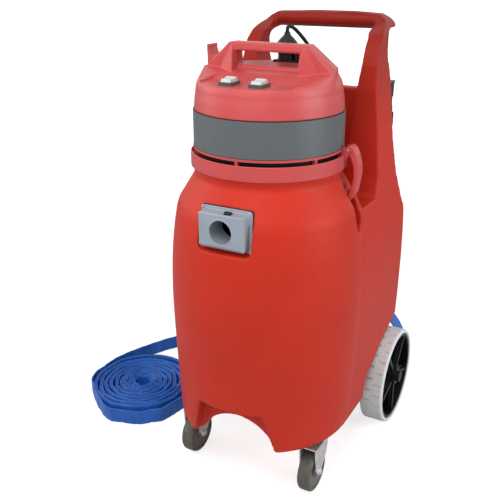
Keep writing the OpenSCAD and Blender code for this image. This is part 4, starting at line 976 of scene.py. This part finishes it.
class VACUUM_OT_stage(bpy.types.Operator):
    """Stage: the camera, soft studio lamps, a white surround and a pale floor"""

    bl_idname = "vacuum.stage"
    bl_label = "Stage"

    def execute(self, context):
        self.camera()
        self.world()
        self.floor()
        for lamp in LAMPS:
            add_light(*lamp)
        context.scene.view_settings.view_transform = "Standard"
        return {"FINISHED"}

    def camera(self):
        """A camera whose line of sight is (-sin A cos E, cos A cos E, -sin E)."""
        data = bpy.data.cameras.new("camera")
        data.lens, data.sensor_width = CAMERA_LENS, 36.0
        data.clip_start, data.clip_end = 0.05, 200.0
        camera = bpy.data.objects.new("camera", data)
        camera.location = CAMERA_AT
        sight = Vector((-math.sin(CAMERA_TURN) * math.cos(CAMERA_DIP),
                        math.cos(CAMERA_TURN) * math.cos(CAMERA_DIP), -math.sin(CAMERA_DIP)))
        camera.rotation_euler = sight.to_track_quat("-Z", "Y").to_euler()
        bpy.context.scene.collection.objects.link(camera)
        bpy.context.scene.camera = camera

    def world(self):
        """An even grey light on the object, which the camera and glossy surfaces see as white."""
        world = bpy.data.worlds.new("surround")
        bpy.context.scene.world = world
        world.use_nodes = True
        tree = world.node_tree
        tree.nodes.clear()
        path = add_node(tree, "ShaderNodeLightPath")
        mirrored = add_node(tree, "ShaderNodeMath", {"operation": "MAXIMUM"})
        tree.links.new(path.outputs["Is Glossy Ray"], mirrored.inputs[0])
        tree.links.new(path.outputs["Is Transmission Ray"], mirrored.inputs[1])
        seen = add_node(tree, "ShaderNodeMath", {"operation": "MAXIMUM"})
        tree.links.new(path.outputs["Is Camera Ray"], seen.inputs[0])
        tree.links.new(mirrored.outputs["Value"], seen.inputs[1])
        strength = add_node(tree, "ShaderNodeMapRange", sockets={
            "Value": seen.outputs["Value"], "To Min": SURROUND_DIM, "To Max": 1.0})
        light = add_node(tree, "ShaderNodeBackground", sockets={
            "Color": (1.0, 1.0, 1.0, 1.0), "Strength": strength.outputs["Result"]})
        add_node(tree, "ShaderNodeOutputWorld", sockets={"Surface": light.outputs["Background"]})

    def floor(self):
        """A wide disc of pale floor, lighter to the camera so that it meets the white surround,
        and dark enough elsewhere to keep the object's shadow."""
        turns = 96
        rings = np.array([0.0, 0.6, 1.4, 3.0, 6.0, 15.0, 60.0])
        a = np.linspace(0, 2 * math.pi, turns, endpoint=False)
        points = np.stack([rings[:, None] * np.cos(a), rings[:, None] * np.sin(a),
                           np.zeros((len(rings), turns))], axis=-1)
        mesh = bpy.data.meshes.new("floor")
        mesh.from_pydata(points[1:].reshape(-1, 3), [],
                         grid_faces(len(rings) - 1, turns).tolist() + [list(range(turns))])
        mesh.update()
        floor = bpy.data.objects.new("floor", mesh)
        bpy.context.scene.collection.objects.link(floor)
        material, tree, shader = new_material("painted_floor_white")
        shader.inputs["Roughness"].default_value = 0.9
        place = add_node(tree, "ShaderNodeTexCoord").outputs["Object"]
        grain = add_node(tree, "ShaderNodeTexNoise", sockets={
            "Vector": place, "Scale": 3.0, "Detail": 2.0})
        ramp = add_node(tree, "ShaderNodeValToRGB", sockets={"Fac": grain.outputs["Fac"]})
        ramp.color_ramp.elements[0].color = linear("#CFCFCF")
        ramp.color_ramp.elements[1].color = linear("#D6D6D6")
        tree.links.new(ramp.outputs["Color"], shader.inputs["Base Color"])
        path = add_node(tree, "ShaderNodeLightPath")
        reach = add_node(tree, "ShaderNodeVectorMath", {"operation": "LENGTH"}, {"Vector": place})
        glow = add_node(tree, "ShaderNodeMapRange", sockets={
            "Value": reach.outputs["Value"], "From Min": 0.9, "From Max": 5.0,
            "To Min": 0.7, "To Max": 1.0})
        lift = add_node(tree, "ShaderNodeMath", {"operation": "MULTIPLY"})
        tree.links.new(path.outputs["Is Camera Ray"], lift.inputs[0])
        tree.links.new(glow.outputs["Result"], lift.inputs[1])
        tree.links.new(lift.outputs["Value"], shader.inputs["Emission Strength"])
        shader.inputs["Emission Color"].default_value = (1.0, 1.0, 1.0, 1.0)
        mesh.materials.append(material)


# ---- panel and registration ----


class VACUUM_PT_panel(bpy.types.Panel):
    """Sizes, colours and pieces of the vacuum"""

    bl_idname = "VACUUM_PT_panel"
    bl_label = "Tank Vacuum"
    bl_space_type = "VIEW_3D"
    bl_region_type = "UI"
    bl_category = "Tank Vacuum"

    def draw(self, context):
        values = context.scene.tank_vacuum
        for key in values.bl_rna.properties.keys():
            if key not in ("rna_type", "name"):
                self.layout.prop(values, key)
        for operator in OPERATORS:
            self.layout.operator(operator.bl_idname)


OPERATORS = (VACUUM_OT_stage, VACUUM_OT_hose, VACUUM_OT_lead, VACUUM_OT_tank, VACUUM_OT_head,
             VACUUM_OT_inlet, VACUUM_OT_tyres, VACUUM_OT_fittings)
CLASSES = (VacuumSettings, *OPERATORS, VACUUM_PT_panel)


def register():
    """Registers the classes and the scene's settings."""
    for made in CLASSES:
        bpy.utils.register_class(made)
    bpy.types.Scene.tank_vacuum = PointerProperty(type=VacuumSettings)


def unregister():
    """Takes the classes and the settings away again."""
    del bpy.types.Scene.tank_vacuum
    for made in reversed(CLASSES):
        bpy.utils.unregister_class(made)


def main():
    register()
    bpy.ops.vacuum.stage()
    bpy.ops.vacuum.hose()
    bpy.ops.vacuum.lead()
    bpy.ops.vacuum.tank()
    bpy.ops.vacuum.head()
    bpy.ops.vacuum.inlet()
    bpy.ops.vacuum.tyres()
    bpy.ops.vacuum.fittings()


if __name__ == "__main__":
    main()
